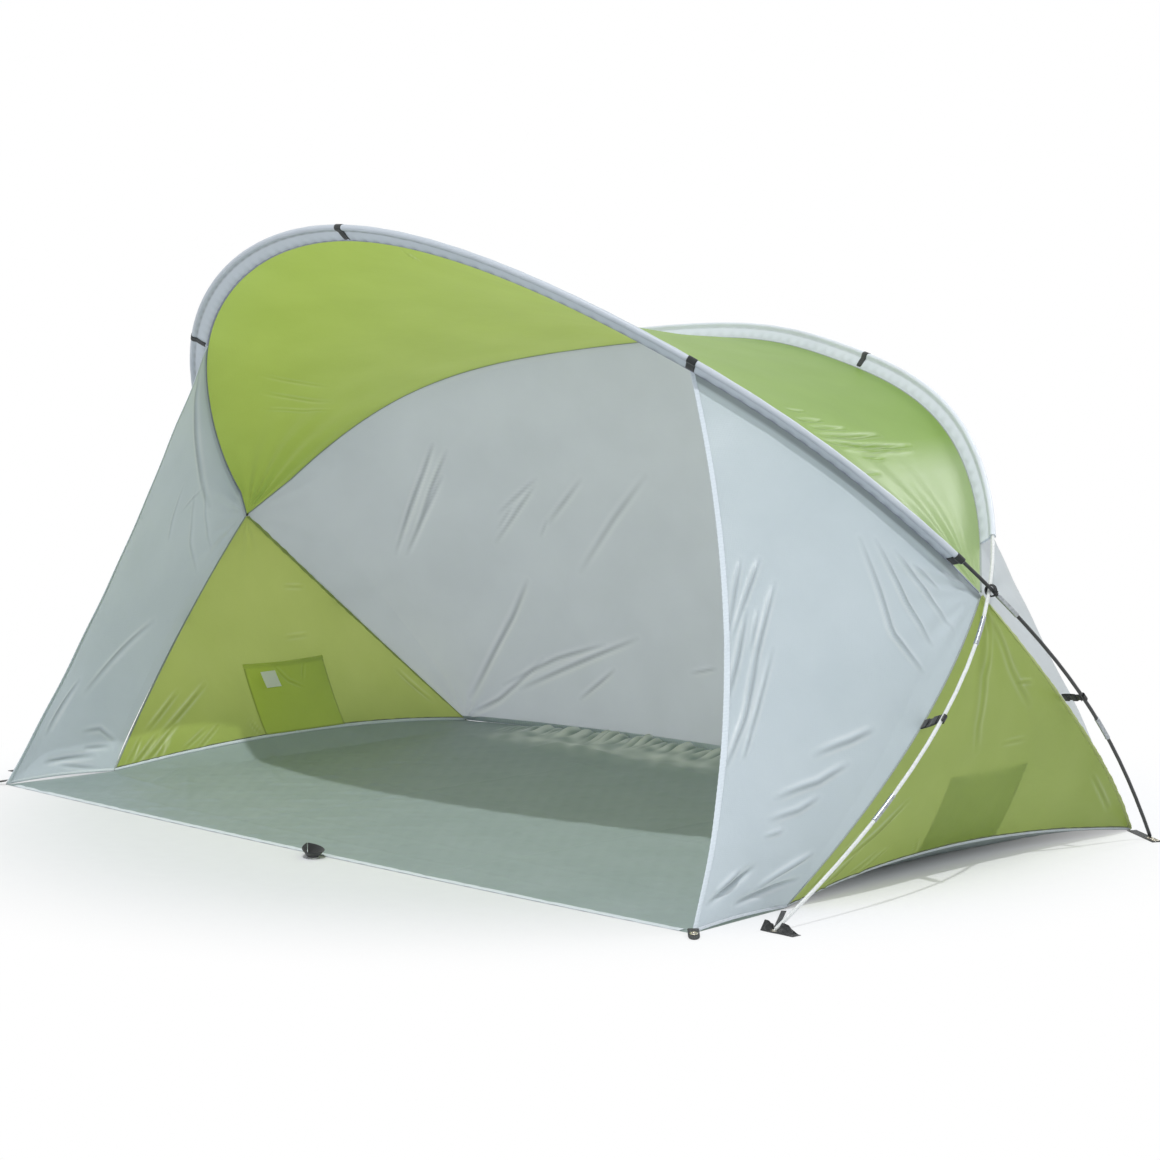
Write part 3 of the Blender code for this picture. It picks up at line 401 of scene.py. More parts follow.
def add(tree, kind, feeds=None, **settings):
    """One node with its settings, and what each of its sockets holds or is fed by."""
    made = tree.nodes.new(kind)
    for name, value in settings.items():
        setattr(made, name, value)
    for socket, value in (feeds or {}).items():
        if isinstance(value, bpy.types.NodeSocket):
            tree.links.new(value, made.inputs[socket])
        else:
            made.inputs[socket].default_value = value
    return made


def new_material(name):
    made = bpy.data.materials.new(name)
    made.use_nodes = True
    made.node_tree.nodes.clear()
    return made, made.node_tree


def maths(tree, operation, *values):
    return add(tree, "ShaderNodeMath", dict(enumerate(values)), operation=operation).outputs[0]


def ranged(tree, value, *ends, **settings):
    """A value moved from one range to another, or to 0 to 1. ends are both ends of each range."""
    return add(tree, "ShaderNodeMapRange", dict(enumerate((value, *ends))), **settings).outputs[0]


def blended(tree, factor, first, second):
    return add(tree, "ShaderNodeMix", {0: factor, 6: first, 7: second}, data_type="RGBA").outputs[2]


def shades(tree, factor, dark, light):
    """A colour from dark to light by a factor."""
    return blended(tree, factor, linear(dark), linear(light))


def noise(tree, place, scale, detail):
    return add(tree, "ShaderNodeTexNoise", {"Vector": place, "Scale": scale, "Detail": detail}).outputs[0]


def threads(tree, place, pitch, uneven, uneven_scale, direction):
    """Bands that repeat after this many metres, a little uneven."""
    feeds = {"Vector": place, "Scale": math.pi / (10 * pitch), "Distortion": uneven, "Detail": 1.0,
             "Detail Scale": uneven_scale}
    return add(tree, "ShaderNodeTexWave", feeds, bands_direction=direction).outputs[1]


def bumped(tree, height, distance, strength, **onto):
    feeds = {"Height": height, "Distance": distance, "Strength": strength, **onto}
    return add(tree, "ShaderNodeBump", feeds).outputs[0]


# Colour of a pinched fold: partly cloth lying double, partly painted shade.
DOUBLED_AND_SHADED_DARK = (0.02, 0.03, 0.03, 1)


def woven_cloth(name, dark, light, through, roughness=0.38, pitch=0.0035, glow=0.42, relief=0.00018):
    """Thin plain-woven polyester: an even matt colour, a faint grain of threads, and light that comes through."""
    made, tree = new_material(name)
    place = add(tree, "ShaderNodeUVMap", uv_map="metres").outputs[0]
    solid = add(tree, "ShaderNodeTexCoord").outputs["Object"]
    tone = noise(tree, solid, 7.0, 3.0)
    # Real threads lie 0.13 mm apart. They are drawn far coarser, so that they show as a faint grain.
    across = threads(tree, place, pitch, 0.8, 2.0, "X")
    along = threads(tree, place, pitch, 0.8, 2.0, "Y")
    weave = maths(tree, "MULTIPLY", across, along)
    grain = maths(tree, "ADD", weave, noise(tree, place, 260.0, 2.0))
    fine = maths(tree, "MULTIPLY_ADD", grain, 0.10, -0.07)
    factor = ranged(tree, maths(tree, "ADD", tone, fine), 0.30, 0.74)
    # The fold attribute darkens a pinched fold, partly as cloth lying double and partly as painted shade, and whitens
    # its flanks and the other places it marks as raised or lit, as painted highlight.
    fold = add(tree, "ShaderNodeAttribute", attribute_name="fold").outputs["Fac"]
    doubled_and_shaded = ranged(tree, fold, 0.0, -2.0, 0.0, 0.60)
    painted_highlight = ranged(tree, fold, 0.0, 2.0, 0.0, 0.90)

    def with_fold_shade_and_highlight(plain):
        return blended(tree, painted_highlight, blended(tree, doubled_and_shaded, plain, DOUBLED_AND_SHADED_DARK), (1, 1, 1, 1))

    colour = with_fold_shade_and_highlight(shades(tree, factor, dark, light))
    crumple = bumped(tree, noise(tree, solid, 55.0, 2.0), 0.0007, 0.6)
    bump = bumped(tree, weave, relief, 0.5, Normal=crumple)
    face = {"Base Color": colour, "Roughness": roughness, "IOR": 1.5, "Normal": bump, "Specular IOR Level": 0.6}
    front = add(tree, "ShaderNodeBsdfPrincipled", face).outputs[0]
    lit = {"Color": with_fold_shade_and_highlight(shades(tree, factor, *through)), "Normal": bump}
    back = add(tree, "ShaderNodeBsdfTranslucent", lit).outputs[0]
    both = add(tree, "ShaderNodeMixShader", {0: glow, 1: front, 2: back}).outputs[0]
    add(tree, "ShaderNodeOutputMaterial", {"Surface": both})
    return made


STITCH_PITCH = 0.0045
STITCH_SHARE = 0.66
STITCH_HALF_WIDTH = 0.0006


def sewn_tape(name, dark, light, thread, rib, rows=(), depth=0.0004):
    """Woven tape or webbing: matt, with ribs across it and rows of stitches. u is across it and v along it."""
    made, tree = new_material(name)
    place = add(tree, "ShaderNodeUVMap", uv_map="metres").outputs[0]
    parts = add(tree, "ShaderNodeSeparateXYZ", {0: place})
    # The ribs are 1 mm apart on real webbing, drawn wider so that they show.
    height = threads(tree, place, rib, 1.2, 3.0, "Y")
    both = maths(tree, "MULTIPLY_ADD", height, 0.45, noise(tree, place, 320.0, 3.0))
    colour = shades(tree, ranged(tree, both, 0.25, 1.1), dark, light)
    beat = maths(tree, "FRACT", maths(tree, "MULTIPLY", parts.outputs[1], 1 / STITCH_PITCH))
    on = maths(tree, "LESS_THAN", beat, STITCH_SHARE)
    for row in rows:
        gap = maths(tree, "ABSOLUTE", maths(tree, "SUBTRACT", parts.outputs[0], row))
        stitch = maths(tree, "MULTIPLY", maths(tree, "LESS_THAN", gap, STITCH_HALF_WIDTH), on)
        colour = blended(tree, stitch, colour, linear(thread))
        height = maths(tree, "ADD", height, stitch)
    face = {"Base Color": colour, "Roughness": 0.75, "IOR": 1.5, "Normal": bumped(tree, height, depth, 0.8),
            "Sheen Weight": 0.2, "Specular IOR Level": 0.3}
    shader = add(tree, "ShaderNodeBsdfPrincipled", face).outputs[0]
    add(tree, "ShaderNodeOutputMaterial", {"Surface": shader})
    return made


def hard_surface(name, dark, light, roughness, grain, metallic=0.0, coat=0.0):
    """A drawn, moulded or pressed surface: even colour, fine grain in its gloss and a little wear."""
    made, tree = new_material(name)
    solid = add(tree, "ShaderNodeTexCoord").outputs["Object"]
    marks = noise(tree, solid, grain, 4.0)
    face = {"Base Color": shades(tree, ranged(tree, marks, 0.34, 0.66), dark, light),
            "Roughness": ranged(tree, marks, 0.3, 0.7, roughness * 0.8, roughness * 1.2),
            "Metallic": metallic, "Normal": bumped(tree, noise(tree, solid, grain * 7, 2.0), 0.0001, 0.5),
            "Coat Weight": coat, "Coat Roughness": 0.2}
    shader = add(tree, "ShaderNodeBsdfPrincipled", face).outputs[0]
    add(tree, "ShaderNodeOutputMaterial", {"Surface": shader})
    return made


ROOF_GREEN = woven_cloth("roof_green_taffeta", "#82A94A", "#89B051", ("#A6B655", "#ADBD5C"))
SIDE_GREEN = woven_cloth("side_green_taffeta", "#899E48", "#91A550", ("#CAD777", "#D1DD7F"))
POCKET_GREEN = woven_cloth("pocket_green_taffeta", "#BACD55", "#C2D45D", ("#C3D458", "#CBDB60"), glow=0.25)
WALL_GREY = woven_cloth("wall_grey_taffeta", "#CED4D9", "#D4DADF", ("#BBC1C8", "#C1C7CE"), glow=0.40)
WING_GREY = woven_cloth("wing_silver_taffeta", "#C1CDD5", "#C8D3DB", ("#CCD5DA", "#D2DBE0"), glow=0.34)
SLEEVE_GREY = woven_cloth("sleeve_silver_taffeta", "#CAD3DB", "#D1D9E1", ("#BAC4C8", "#C1CBCF"), glow=0.25)
# The rear sleeve is the same cloth as the front one, drawn paler as a painted sheen.
REAR_SLEEVE_SHEEN_GREY = woven_cloth("rear_sleeve_painted_sheen_taffeta", "#E1E8EE", "#E7EDF2", ("#D4DCE2", "#DAE2E7"), glow=0.25)
# Extruded tape woven and coated on both faces: duller than the walls, with faint glints of its own gloss on its folds;
# the pleats near the wall also get painted highlight through the fold attribute.
FLOOR_CLOTH = woven_cloth("groundsheet_coated_weave", "#8A9998", "#919F9F", ("#6F827A", "#7C8E86"),
                          roughness=0.45, pitch=0.0045, glow=0.04, relief=0.00008)
# White woven hem tape: the brightest line round the tent, with one row of stitches near its edge.
HEM_TAPE = sewn_tape("white_woven_hem_tape", "#C3CDD3", "#D5DDE2", "#B9C0C8", rows=(0.0022,), rib=0.0030)
# Turned hem of the wing's own cloth: paler where it lies double, with its stitches along the fold.
DOUBLE_HEM = sewn_tape("wing_double_hem", "#C2CCD2", "#CAD4DA", "#AAB4BC", rows=(0.0015,), rib=0.0060, depth=0.0002)
WALL_HEM = sewn_tape("wall_double_hem", "#AFBCC6", "#BECAD2", "#8D98A2", rows=(0.0110,), rib=0.0060, depth=0.0002)
# Overlocked seams: dull grey thread that lies as a thin dark line between the panels.
DARK_SEAM = sewn_tape("overlocked_grey_seam", "#87918D", "#A0A9A4", "#737D79", rib=0.0030)
SLEEVE_SEAM = sewn_tape("overlocked_sleeve_seam", "#7E8496", "#959BAD", "#6C7284", rib=0.0030)
OLIVE_SEAM = sewn_tape("overlocked_olive_seam", "#8E9C58", "#9DAA66", "#74803F", rib=0.0040)
BLACK_EDGE = sewn_tape("dark_edge_binding", "#555B44", "#6C7259", "#3F4432", rib=0.0030)
# Ribbed polypropylene webbing, near black and matt, with a row of stitches near each edge.
WEBBING = sewn_tape("black_ribbed_webbing", "#191C1C", "#2B2F2F", "#3C4040", rows=(0.0035, 0.0165), rib=0.0026)
BAND_TAPE = sewn_tape("dark_grey_woven_tape", "#1D2121", "#2A2E2E", "#3C4141", rows=(0.0018, 0.0132), rib=0.0026)
CORD = sewn_tape("black_braided_cord", "#1B1D1E", "#303334", "#3C4040", rib=0.0022)
LABEL = woven_cloth("white_satin_label", "#F1F3F2", "#F7F8F8", ("#F1F3F2", "#F7F8F8"), glow=0.30, roughness=0.45)
# Pultruded fibreglass: long glass fibres in resin, so a smooth, slightly waxy shine.
BLACK_ROD = hard_surface("black_pultruded_fibreglass", "#17191B", "#262A2C", 0.34, coat=0.15, grain=60.0)
PALE_ROD = hard_surface("pale_pultruded_fibreglass", "#C6CAC8", "#D6D9D7", 0.38, coat=0.15, grain=240.0)
# Drawn steel tube, zinc plated and dull: the joints of the poles.
FERRULE = hard_surface("plated_steel_ferrule", "#8F959A", "#B4B9BD", 0.34, metallic=1.0, grain=200.0)
EYELET = hard_surface("nickel_plated_brass_eyelet", "#B3AC9C", "#D3CEC0", 0.28, metallic=1.0, grain=300.0)
# Moulded acetal: satin black with soft highlights.
HOOK = hard_surface("moulded_black_acetal", "#121314", "#1F2122", 0.42, grain=400.0)


# Pieces

def faces_between(rows, columns):
    at = np.arange(rows * columns).reshape(rows, columns)
    return np.stack([at[:-1, :-1], at[:-1, 1:], at[1:, 1:], at[1:, :-1]], axis=-1).reshape(-1, 4)


def make(name, points, faces, corners, look, body, nodes):
    """A piece from points, faces and the UV place of each face corner, moved to the part's origin."""
    mesh = bpy.data.meshes.new(name)
    placed = np.maximum(points - ORIGIN, (-math.inf, -math.inf, GROUND_GAP))
    mesh.from_pydata(placed.tolist(), [], [list(face) for face in faces])
    layer = mesh.uv_layers.new(name="metres")
    layer.data.foreach_set("uv", np.concatenate(corners).astype(np.float32).ravel())
    mesh.materials.append(look)
    mesh.shade_smooth()
    made = bpy.data.objects.new(name, mesh)
    bpy.context.scene.collection.objects.link(made)
    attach(made, body)
    if nodes:
        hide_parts(*nodes)
    return made


def surface(name, grid, look, body="tent", nodes=(), around=False, capped=False, tone=None,
            mirrored=False):
    """A piece whose surface runs through a grid of points. around joins its last column to its first."""
    grid = np.asarray(grid, float) * (MIRROR if mirrored else 1)
    rows, columns = grid.shape[:2]
    wide = np.concatenate([grid, grid[:, :1]], axis=1) if around else grid
    across = np.linalg.norm(np.diff(wide, axis=1), axis=2)
    along = np.linalg.norm(np.diff(wide, axis=0), axis=2)
    u = np.concatenate([np.zeros((rows, 1)), np.cumsum(across, axis=1)], axis=1)
    v = np.concatenate([np.zeros((1, wide.shape[1])), np.cumsum(along, axis=0)], axis=0)
    place = np.stack([u, v], axis=-1).reshape(-1, 2)
    wide_faces = faces_between(rows, wide.shape[1])
    corners = [place[wide_faces.ravel()]]
    if around:
        r, c = np.divmod(wide_faces, columns + 1)
        faces = (r * columns + c % columns).tolist()
    else:
        faces = wide_faces.tolist()
    if capped:
        last = (rows - 1) * columns
        flat = place.reshape(rows, -1, 2)
        faces.append(list(range(columns))[::-1])
        corners.append(flat[0, :columns][::-1])
        faces.append(list(range(last, last + columns)))
        corners.append(flat[-1, :columns])
    made = make(name, grid.reshape(-1, 3), faces, corners, look, body, nodes)
    if tone is not None:
        made.data.attributes.new("fold", "FLOAT", "POINT").data.foreach_set("value", tone.astype(np.float32).ravel())
    return made


def edge_rows(grid, edge, width, count):
    """Rows of points that start on one edge of the cloth and run in over it by this width."""
    laid = {"left": grid.transpose(1, 0, 2), "low": grid, "high": grid[::-1]}[edge]
    reach = np.cumsum(np.linalg.norm(np.diff(laid, axis=0), axis=2), axis=0)
    reach = np.concatenate([np.zeros((1, laid.shape[1])), reach])
    return np.array([[[np.interp(share * width, reach[:, c], laid[:, c, k]) for k in range(3)]
                      for c in range(laid.shape[1])] for share in np.linspace(0, 1, count)])


HEM_SWELL = 0.0004
LUMP_PITCHES = (0.046, 0.113)


def hem(name, grid, edge, width, look, slot, lift=0.0007, out=0.0008, wavy=0.0, mirrored=False):
    """Tape folded over an edge of the cloth: one row of points per station."""
    rows = edge_rows(grid, edge, width, 5)
    face = normals(rows)
    edge_out = unit(rows[0] - rows[1]) * out
    wave = wavy * np.sin(np.arange(rows.shape[1]) * 2.3)[None, :, None]
    stand = [lift + (HEM_SWELL if 0 < i < 4 else 0) for i in range(5)]
    upper = [rows[i] + face[i] * stand[i] for i in range(4, -1, -1)]
    lower = [rows[i] - face[i] * stand[i] for i in range(5)]
    section = np.array(upper + [rows[0] + edge_out * 1.4] + lower)
    section = section + wave * edge_out[None] / out
    return surface(name, section.transpose(1, 0, 2), look, mirrored=mirrored)


def bound_seam(name, line, into, width, thick, look, slot, lumps=0.0, mirrored=False):
    """The overlocked edges of two panels, as a narrow flat roll along their seam."""
    turn = np.arange(10) * math.tau / 10
    along = unit(np.gradient(line, axis=0))
    into = unit(into - along * np.sum(into * along, axis=1)[:, None])
    face = np.cross(along, into)
    at = lengths_along(line)
    slow = np.sin(at * math.tau / LUMP_PITCHES[0]) * np.sin(at * math.tau / LUMP_PITCHES[1] + 1)
    swell = 1 + lumps * slow + 0.08 * np.sin(at * 900)
    grid = line[:, None] + into[:, None] * (np.cos(turn)[None, :] * width / 2 * swell[:, None])[..., None]
    grid = grid + face[:, None] * (np.sin(turn)[None, :] * thick / 2 * swell[:, None])[..., None]
    return surface(name, grid, look, around=True, capped=True, mirrored=mirrored)


def strip_section(width, thick):
    """Round the edge of a flat strip, with rounded sides: places across it and through it."""
    half = width / 2
    r = thick / 2
    low = [(x, -r) for x in np.linspace(-half + r, half - r, 7)]
    side = [(half - r + r * math.cos(a), r * math.sin(a)) for a in (-math.pi / 4, 0, math.pi / 4)]
    high = [(-x, r) for x in np.linspace(-half + r, half - r, 7)]
    other = [(-p, -q) for p, q in side]
    return np.array(low + side + high + other)


def webbing(name, path, across, width, thick, body, nodes, mirrored=False):
    """A strip of webbing swept along a path, with its width along across at each point."""
    path = np.array(path)
    along = unit(np.gradient(path, axis=0))
    across = np.broadcast_to(np.asarray(across, float), path.shape)
    across = unit(across - along * np.sum(across * along, axis=1)[:, None])
    face = np.cross(along, across)
    section = strip_section(width, thick)
    grid = path[:, None] + across[:, None] * section[None, :, :1] + face[:, None] * section[None, :, 1:]
    return surface(name, grid, WEBBING, body, nodes, around=True, capped=True, mirrored=mirrored)


def tube(name, path, radius, look, nodes=(), sides=10, mirrored=False):
    """A round cord or rod along a path. radius is one number or one for each point."""
    path = np.array(path)
    along = unit(np.gradient(path, axis=0))
    first = unit(np.cross(along[0], (0.3, 0.5, 0.8)))
    frames = [first]
    for direction in along[1:]:
        side = frames[-1] - direction * np.dot(frames[-1], direction)
        frames.append(unit(side))
    frames = np.array(frames)
    second = np.cross(along, frames)
    turn = np.arange(sides) * math.tau / sides
    size = np.broadcast_to(np.asarray(radius, float), len(path))[:, None, None]
    ring = frames[:, None] * np.cos(turn)[None, :, None] + second[:, None] * np.sin(turn)[None, :, None]
    grid = path[:, None] + ring * size
    return surface(name, grid, look, "tent", nodes, around=True, capped=True, mirrored=mirrored)


RING_SIDES = 36


def turned(name, centre, axis, profile, look, body, mirrored):
    """A pressed ring: a closed profile of (radius, height) turned round an axis."""
    axis = unit(np.array(axis, float))
    first = unit(np.cross(axis, (0.31, 0.55, 0.77)))
    second = np.cross(axis, first)
    profile = np.array(profile)
    angle = np.linspace(0, math.tau, RING_SIDES + 1)
    spoke = np.cos(angle)[:, None] * first + np.sin(angle)[:, None] * second
    grid = centre + spoke[:, None] * profile[None, :, :1] + axis * profile[None, :, 1:]
    return surface(name, grid, look, body, (), around=True, mirrored=mirrored)


def eyelet(name, centre, axis, body="tent", inner=0.0040, outer=0.0074, mirrored=False):
    """A rolled eyelet: a flange on each face joined by a barrel through the hole."""
    mid = (inner + outer) / 2
    high = 0.0020
    profile = [(inner, 0), (inner + 0.0003, high * 0.8), (mid, high), (outer - 0.0004, high * 0.7),
               (outer, high * 0.45), (outer - 0.0006, high * 0.3), (inner + 0.0012, high * 0.3),
               (inner + 0.0012, -high * 0.1)]
    return turned(name, centre, axis, profile, EYELET, body, mirrored)


# Poles and hooks keep their CAD nodes.
for name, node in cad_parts.items():
    look = BLACK_ROD if name.startswith("front_pole") else PALE_ROD if name.startswith("rear_pole") else None
    if "_hook_" in name:
        look = HOOK
    if look:
        if not node.material_slots:
            node.data.materials.append(look)
        for socket in node.material_slots:
            socket.material = look


def ferrules(name, arch, sections, leg_section):
    """Thin tubes over the joints of a pole, with a rolled lip at each end."""
    middle = (arch.length - 2 * (END_SECTION + leg_section)) / (sections - 4)
    joints = [END_SECTION] + [END_SECTION + leg_section + i * middle for i in range(sections - 3)]
    joints.append(arch.length - END_SECTION)
    half = FERRULE_LENGTH / 2
    for number, joint in enumerate(joints):
        places = [-half - 0.0003, -half, -half + 0.0008, -half + 0.0020, -half + 0.0032]
        places += list(np.linspace(-half + 0.008, half - 0.008, 9))
        places += [-p for p in places[4::-1]]
        lip = [0.0037, 0.0045, 0.0048, 0.0047, 0.00455]
        sizes = lip + [0.00455] * 9 + lip[::-1]
        path = [arch.at(joint + p) for p in places]
        tube(f"{name}_{number + 1:02d}", path, sizes, FERRULE, sides=20)


ferrules("front_pole_ferrule", FRONT_ARCH, 12, FRONT_LEG_SECTION)
ferrules("rear_pole_ferrule", REAR_ARCH, 11, REAR_LEG_SECTION)


# Sleeves

# The row of stitches below the tunnel lies this many tunnel radii from the pole's axis.
STITCH_REACH = 1.42
# Tape round the sleeve covers this much of its depth.
BAND_REACH = 0.93
BAND_THICK = 0.0008
# The patch at a sleeve's end has its middle this far in from the end.
END_PATCH_IN = 0.0095


def sleeve_section(radius, depth, gap=0.0):
    """Round a sleeve from its seam: a flat flange of two layers, a stitched line, and the tunnel for the pole."""
    stitch = np.array([radius * STITCH_REACH, 0.0020 + gap])
    touch = math.acos(radius / np.linalg.norm(stitch)) + math.atan2(stitch[1], stitch[0])
    arc = np.linspace(touch * 0.95, math.tau - touch * 0.95, 19)
    share = np.array([0, 0.15, 0.3, 0.45, 0.6, 0.75, 0.88, 0.96])
    thick = stitch[1] * (0.45 + 0.55 * share) + 0.0008 * np.sin(math.pi * share)
    flange = np.column_stack([depth + (stitch[0] - depth) * share, thick])
    curve = np.column_stack([radius * np.cos(arc), radius * np.sin(arc)])
    low = stitch * np.array([1, -1])
    return np.concatenate([flange, [stitch], curve, [low], flange[::-1] * np.array([1, -1])])


# Puckers run out from the seam, and the tunnel is a little wider and narrower along the pole.
PUCKER_PITCH = 0.034
PUCKER_REACH = 0.011
PUCKER_HEIGHT = 0.0011
SLEEVE_WAVE = 0.071
STITCH_LINE = 0.0012


def sleeve(name, node, arch, stations, depth, tilt, seed, look, stitch_line_shade):
    """A sleeve along its pole. Its last argument sets how dark its row of stitches shows, and with it the painted
    shade where the tunnel turns into the flange.
    """
    section = sleeve_section(SLEEVE_RADIUS, depth)
    line = np.exp(-((section[:, 0] - SLEEVE_RADIUS * STITCH_REACH) / STITCH_LINE) ** 2)
    rows = []
    tone = []
    for s in stations:
        pucker = math.sin(math.tau * s / PUCKER_PITCH + 1.5 * math.sin(s * 11 + seed))
        wide = 1 + 0.05 * math.sin(math.tau * s / SLEEVE_WAVE + 2 * math.sin(s * 7 + seed))
        near = np.exp(-((depth - section[:, 0]) / PUCKER_REACH) ** 2)
        profile = section * np.array([1, wide])
        profile[:, 1] += PUCKER_HEIGHT * pucker * near * np.sign(section[:, 1]) * (section[:, 0] < depth - 0.001)
        rows.append(arch.place(s, tilt, profile))
        # Painted shade along the stitch row and darker near the seam; the puckers get painted highlight and painted
        # shade.
        tone.append(stitch_line_shade * (-line * (1.1 + 0.3 * pucker) - 0.8 * near**3) + 0.15 * pucker * near)
    return surface(name, rows, look, nodes=(node,), tone=np.array(tone))


# The rear sleeve gets less of this painted shade than the front one.
for name, arch, stations, depth, tilt, seed, look, stitch_line_shade in (
        ("front_sleeve", FRONT_ARCH, FRONT_STATIONS, FRONT_SEAM_DEPTH, 0, 0.4, SLEEVE_GREY, 1.0),
        ("rear_sleeve", REAR_ARCH, REAR_STATIONS, REAR_SEAM_DEPTH, REAR_SEAM_TILT, 2.1, REAR_SLEEVE_SHEEN_GREY, 0.35)):
    piece = sleeve(f"{name}_cloth", name, arch, stations, depth, tilt, seed, look, stitch_line_shade)


def wrap(name, arch, middle, depth, tilt, look, nodes, mirrored=False):
    """A short strip of tape round the sleeve's fold, its ends turned under near the seam."""
    section = sleeve_section(SLEEVE_RADIUS + BAND_THICK, depth, 0.0012)
    section = section[section[:, 0] < depth * BAND_REACH]
    rows = []
    for share in np.linspace(-1, 1, 9):
        s = middle + share * BAND_WIDTH / 2
        swell = 1 + 0.03 * (1 - share**8)
        rows.append(arch.place(s, tilt, section * np.array([1, swell])))
    outer = np.array(rows)
    centre = outer.mean(axis=1, keepdims=True)
    inner = outer - unit(outer - centre) * BAND_THICK
    grid = np.concatenate([outer, inner[:, ::-1]], axis=1)
    return surface(name, grid, look, nodes=nodes, around=True, capped=True, mirrored=mirrored)


wrap("crown_band", FRONT_ARCH, FRONT_ARCH.length / 2, FRONT_SEAM_DEPTH, 0, BAND_TAPE, ("front_band_crown",))
for hand, flip in HANDS:
    wrap(f"wing_corner_band_{hand}", FRONT_ARCH, WING_CORNER, FRONT_SEAM_DEPTH, 0, BAND_TAPE,
         (f"front_band_{hand}",), flip)
    wrap(f"rear_sleeve_band_{hand}", REAR_ARCH, REAR_BAND, REAR_SEAM_DEPTH, REAR_SEAM_TILT, BAND_TAPE,
         (f"rear_band_{hand}",), flip)
    wrap(f"sleeve_end_patch_{hand}", FRONT_ARCH, FRONT_SLEEVE_START + END_PATCH_IN, FRONT_SEAM_DEPTH, 0, WEBBING,
         (f"sleeve_end_{hand}",), flip)


# Cloths. A crease is the shares of the cloth across and up that it runs through, half its width, and its height.
# A fan of tension folds is the shares of the corner that it runs out from, their number, reach and height.

ROOF_FOLDS = [
    ([(0.198, 0.27), (0.198, 0.38)], 0.006, 0.0045), ([(0.182, 0.24), (0.184, 0.40)], 0.007, 0.006),
    ([(0.1716, 0.25), (0.1736, 0.48)], 0.007, 0.006), ([(0.161, 0.23), (0.162, 0.62)], 0.009, 0.0075),
    ([(0.154, 0.20), (0.148, 0.44), (0.143, 0.74)], 0.008, 0.0075),
    ([(0.144, 0.27), (0.1406, 0.47), (0.136, 0.71)], 0.007, -0.006),
    ([(0.133, 0.34), (0.1316, 0.50)], 0.006, 0.0045), ([(0.114, 0.18), (0.113, 0.34)], 0.006, 0.0045),
    ([(0.80, 0.22), (0.81, 0.50)], 0.009, 0.0018), ([(0.83, 0.25), (0.845, 0.60)], 0.009, 0.0020),
    ([(0.858, 0.28), (0.862, 0.66)], 0.008, -0.0018), ([(0.46, 0.03), (0.472, 0.10)], 0.006, 0.0045),
]
WALL_FOLDS = [
    ([(0.841, 0.876), (0.868, 0.817), (0.915, 0.717)], 0.010, 0.0077),
    ([(0.830, 0.851), (0.863, 0.785), (0.903, 0.700)], 0.009, -0.0066),
    ([(0.869, 0.820), (0.902, 0.750), (0.939, 0.669)], 0.009, 0.0066),
    ([(0.848, 0.797), (0.875, 0.748), (0.905, 0.694), (0.928, 0.653)], 0.010, 0.0066),
    ([(0.754, 0.717), (0.788, 0.657), (0.824, 0.594)], 0.010, 0.0055),
    ([(0.754, 0.627), (0.769, 0.587)], 0.008, 0.0033),
    ([(0.805, 0.477), (0.844, 0.380), (0.896, 0.269), (0.965, 0.117)], 0.012, 0.0099),
    ([(0.823, 0.241), (0.921, 0.102), (0.973, 0.050)], 0.011, 0.0088),
    ([(0.728, 0.281), (0.805, 0.239), (0.90, 0.16)], 0.011, 0.0066),
    ([(0.722, 0.208), (0.785, 0.113)], 0.010, 0.0066), ([(0.613, 0.212), (0.577, 0.229)], 0.009, 0.0044),
    ([(0.701, 0.716), (0.754, 0.619)], 0.012, 0.0044), ([(0.750, 0.731), (0.807, 0.665)], 0.010, 0.0044),
    ([(0.629, 0.713), (0.678, 0.613), (0.734, 0.486)], 0.014, 0.0044),
    ([(0.680, 0.300), (0.767, 0.231), (0.877, 0.143)], 0.012, 0.0077),
    ([(0.79, 0.674), (0.815, 0.628)], 0.008, 0.0033), ([(0.16, 0.83), (0.12, 0.72), (0.07, 0.62)], 0.012, 0.0066),
    ([(0.20, 0.45), (0.13, 0.28), (0.04, 0.12)], 0.012, 0.0088),
    ([(0.30, 0.29), (0.18, 0.19), (0.06, 0.06)], 0.012, 0.0077), ([(0.24, 0.74), (0.19, 0.62)], 0.011, 0.0055),
    ([(0.42, 0.30), (0.36, 0.24)], 0.012, 0.0044),
]
SIDE_TOP_FOLDS = [
    ([(0.487, 0.93), (0.349, 0.712), (0.365, 0.523), (0.400, 0.423)], 0.012, 0.0028),
    ([(0.616, 0.90), (0.622, 0.743), (0.701, 0.607)], 0.012, 0.0028),
]
SIDE_FOLDS = [
    ([(0.19, 0.27), (0.139, 0.178), (0.097, 0.100)], 0.009, 0.006), ([(0.10, 0.258), (0.048, 0.127)], 0.008, 0.005),
    ([(0.118, 0.075), (0.104, 0.0)], 0.007, 0.004), ([(0.52, 0.443), (0.64, 0.460)], 0.008, 0.002),
    ([(0.637, 0.685), (0.806, 0.695)], 0.007, 0.003), ([(0.036, 0.10), (0.031, 0.0)], 0.006, 0.005),
    ([(0.083, 0.10), (0.047, 0.0)], 0.007, 0.006), ([(0.130, 0.13), (0.075, 0.0)], 0.008, 0.006),
    ([(0.254, 0.09), (0.203, 0.0)], 0.006, 0.004), ([(0.221, 0.085), (0.169, 0.019)], 0.006, 0.004),
    ([(0.345, 0.087), (0.376, 0.014)], 0.007, 0.003), ([(0.93, 0.30), (0.95, 0.12)], 0.008, 0.004),
]
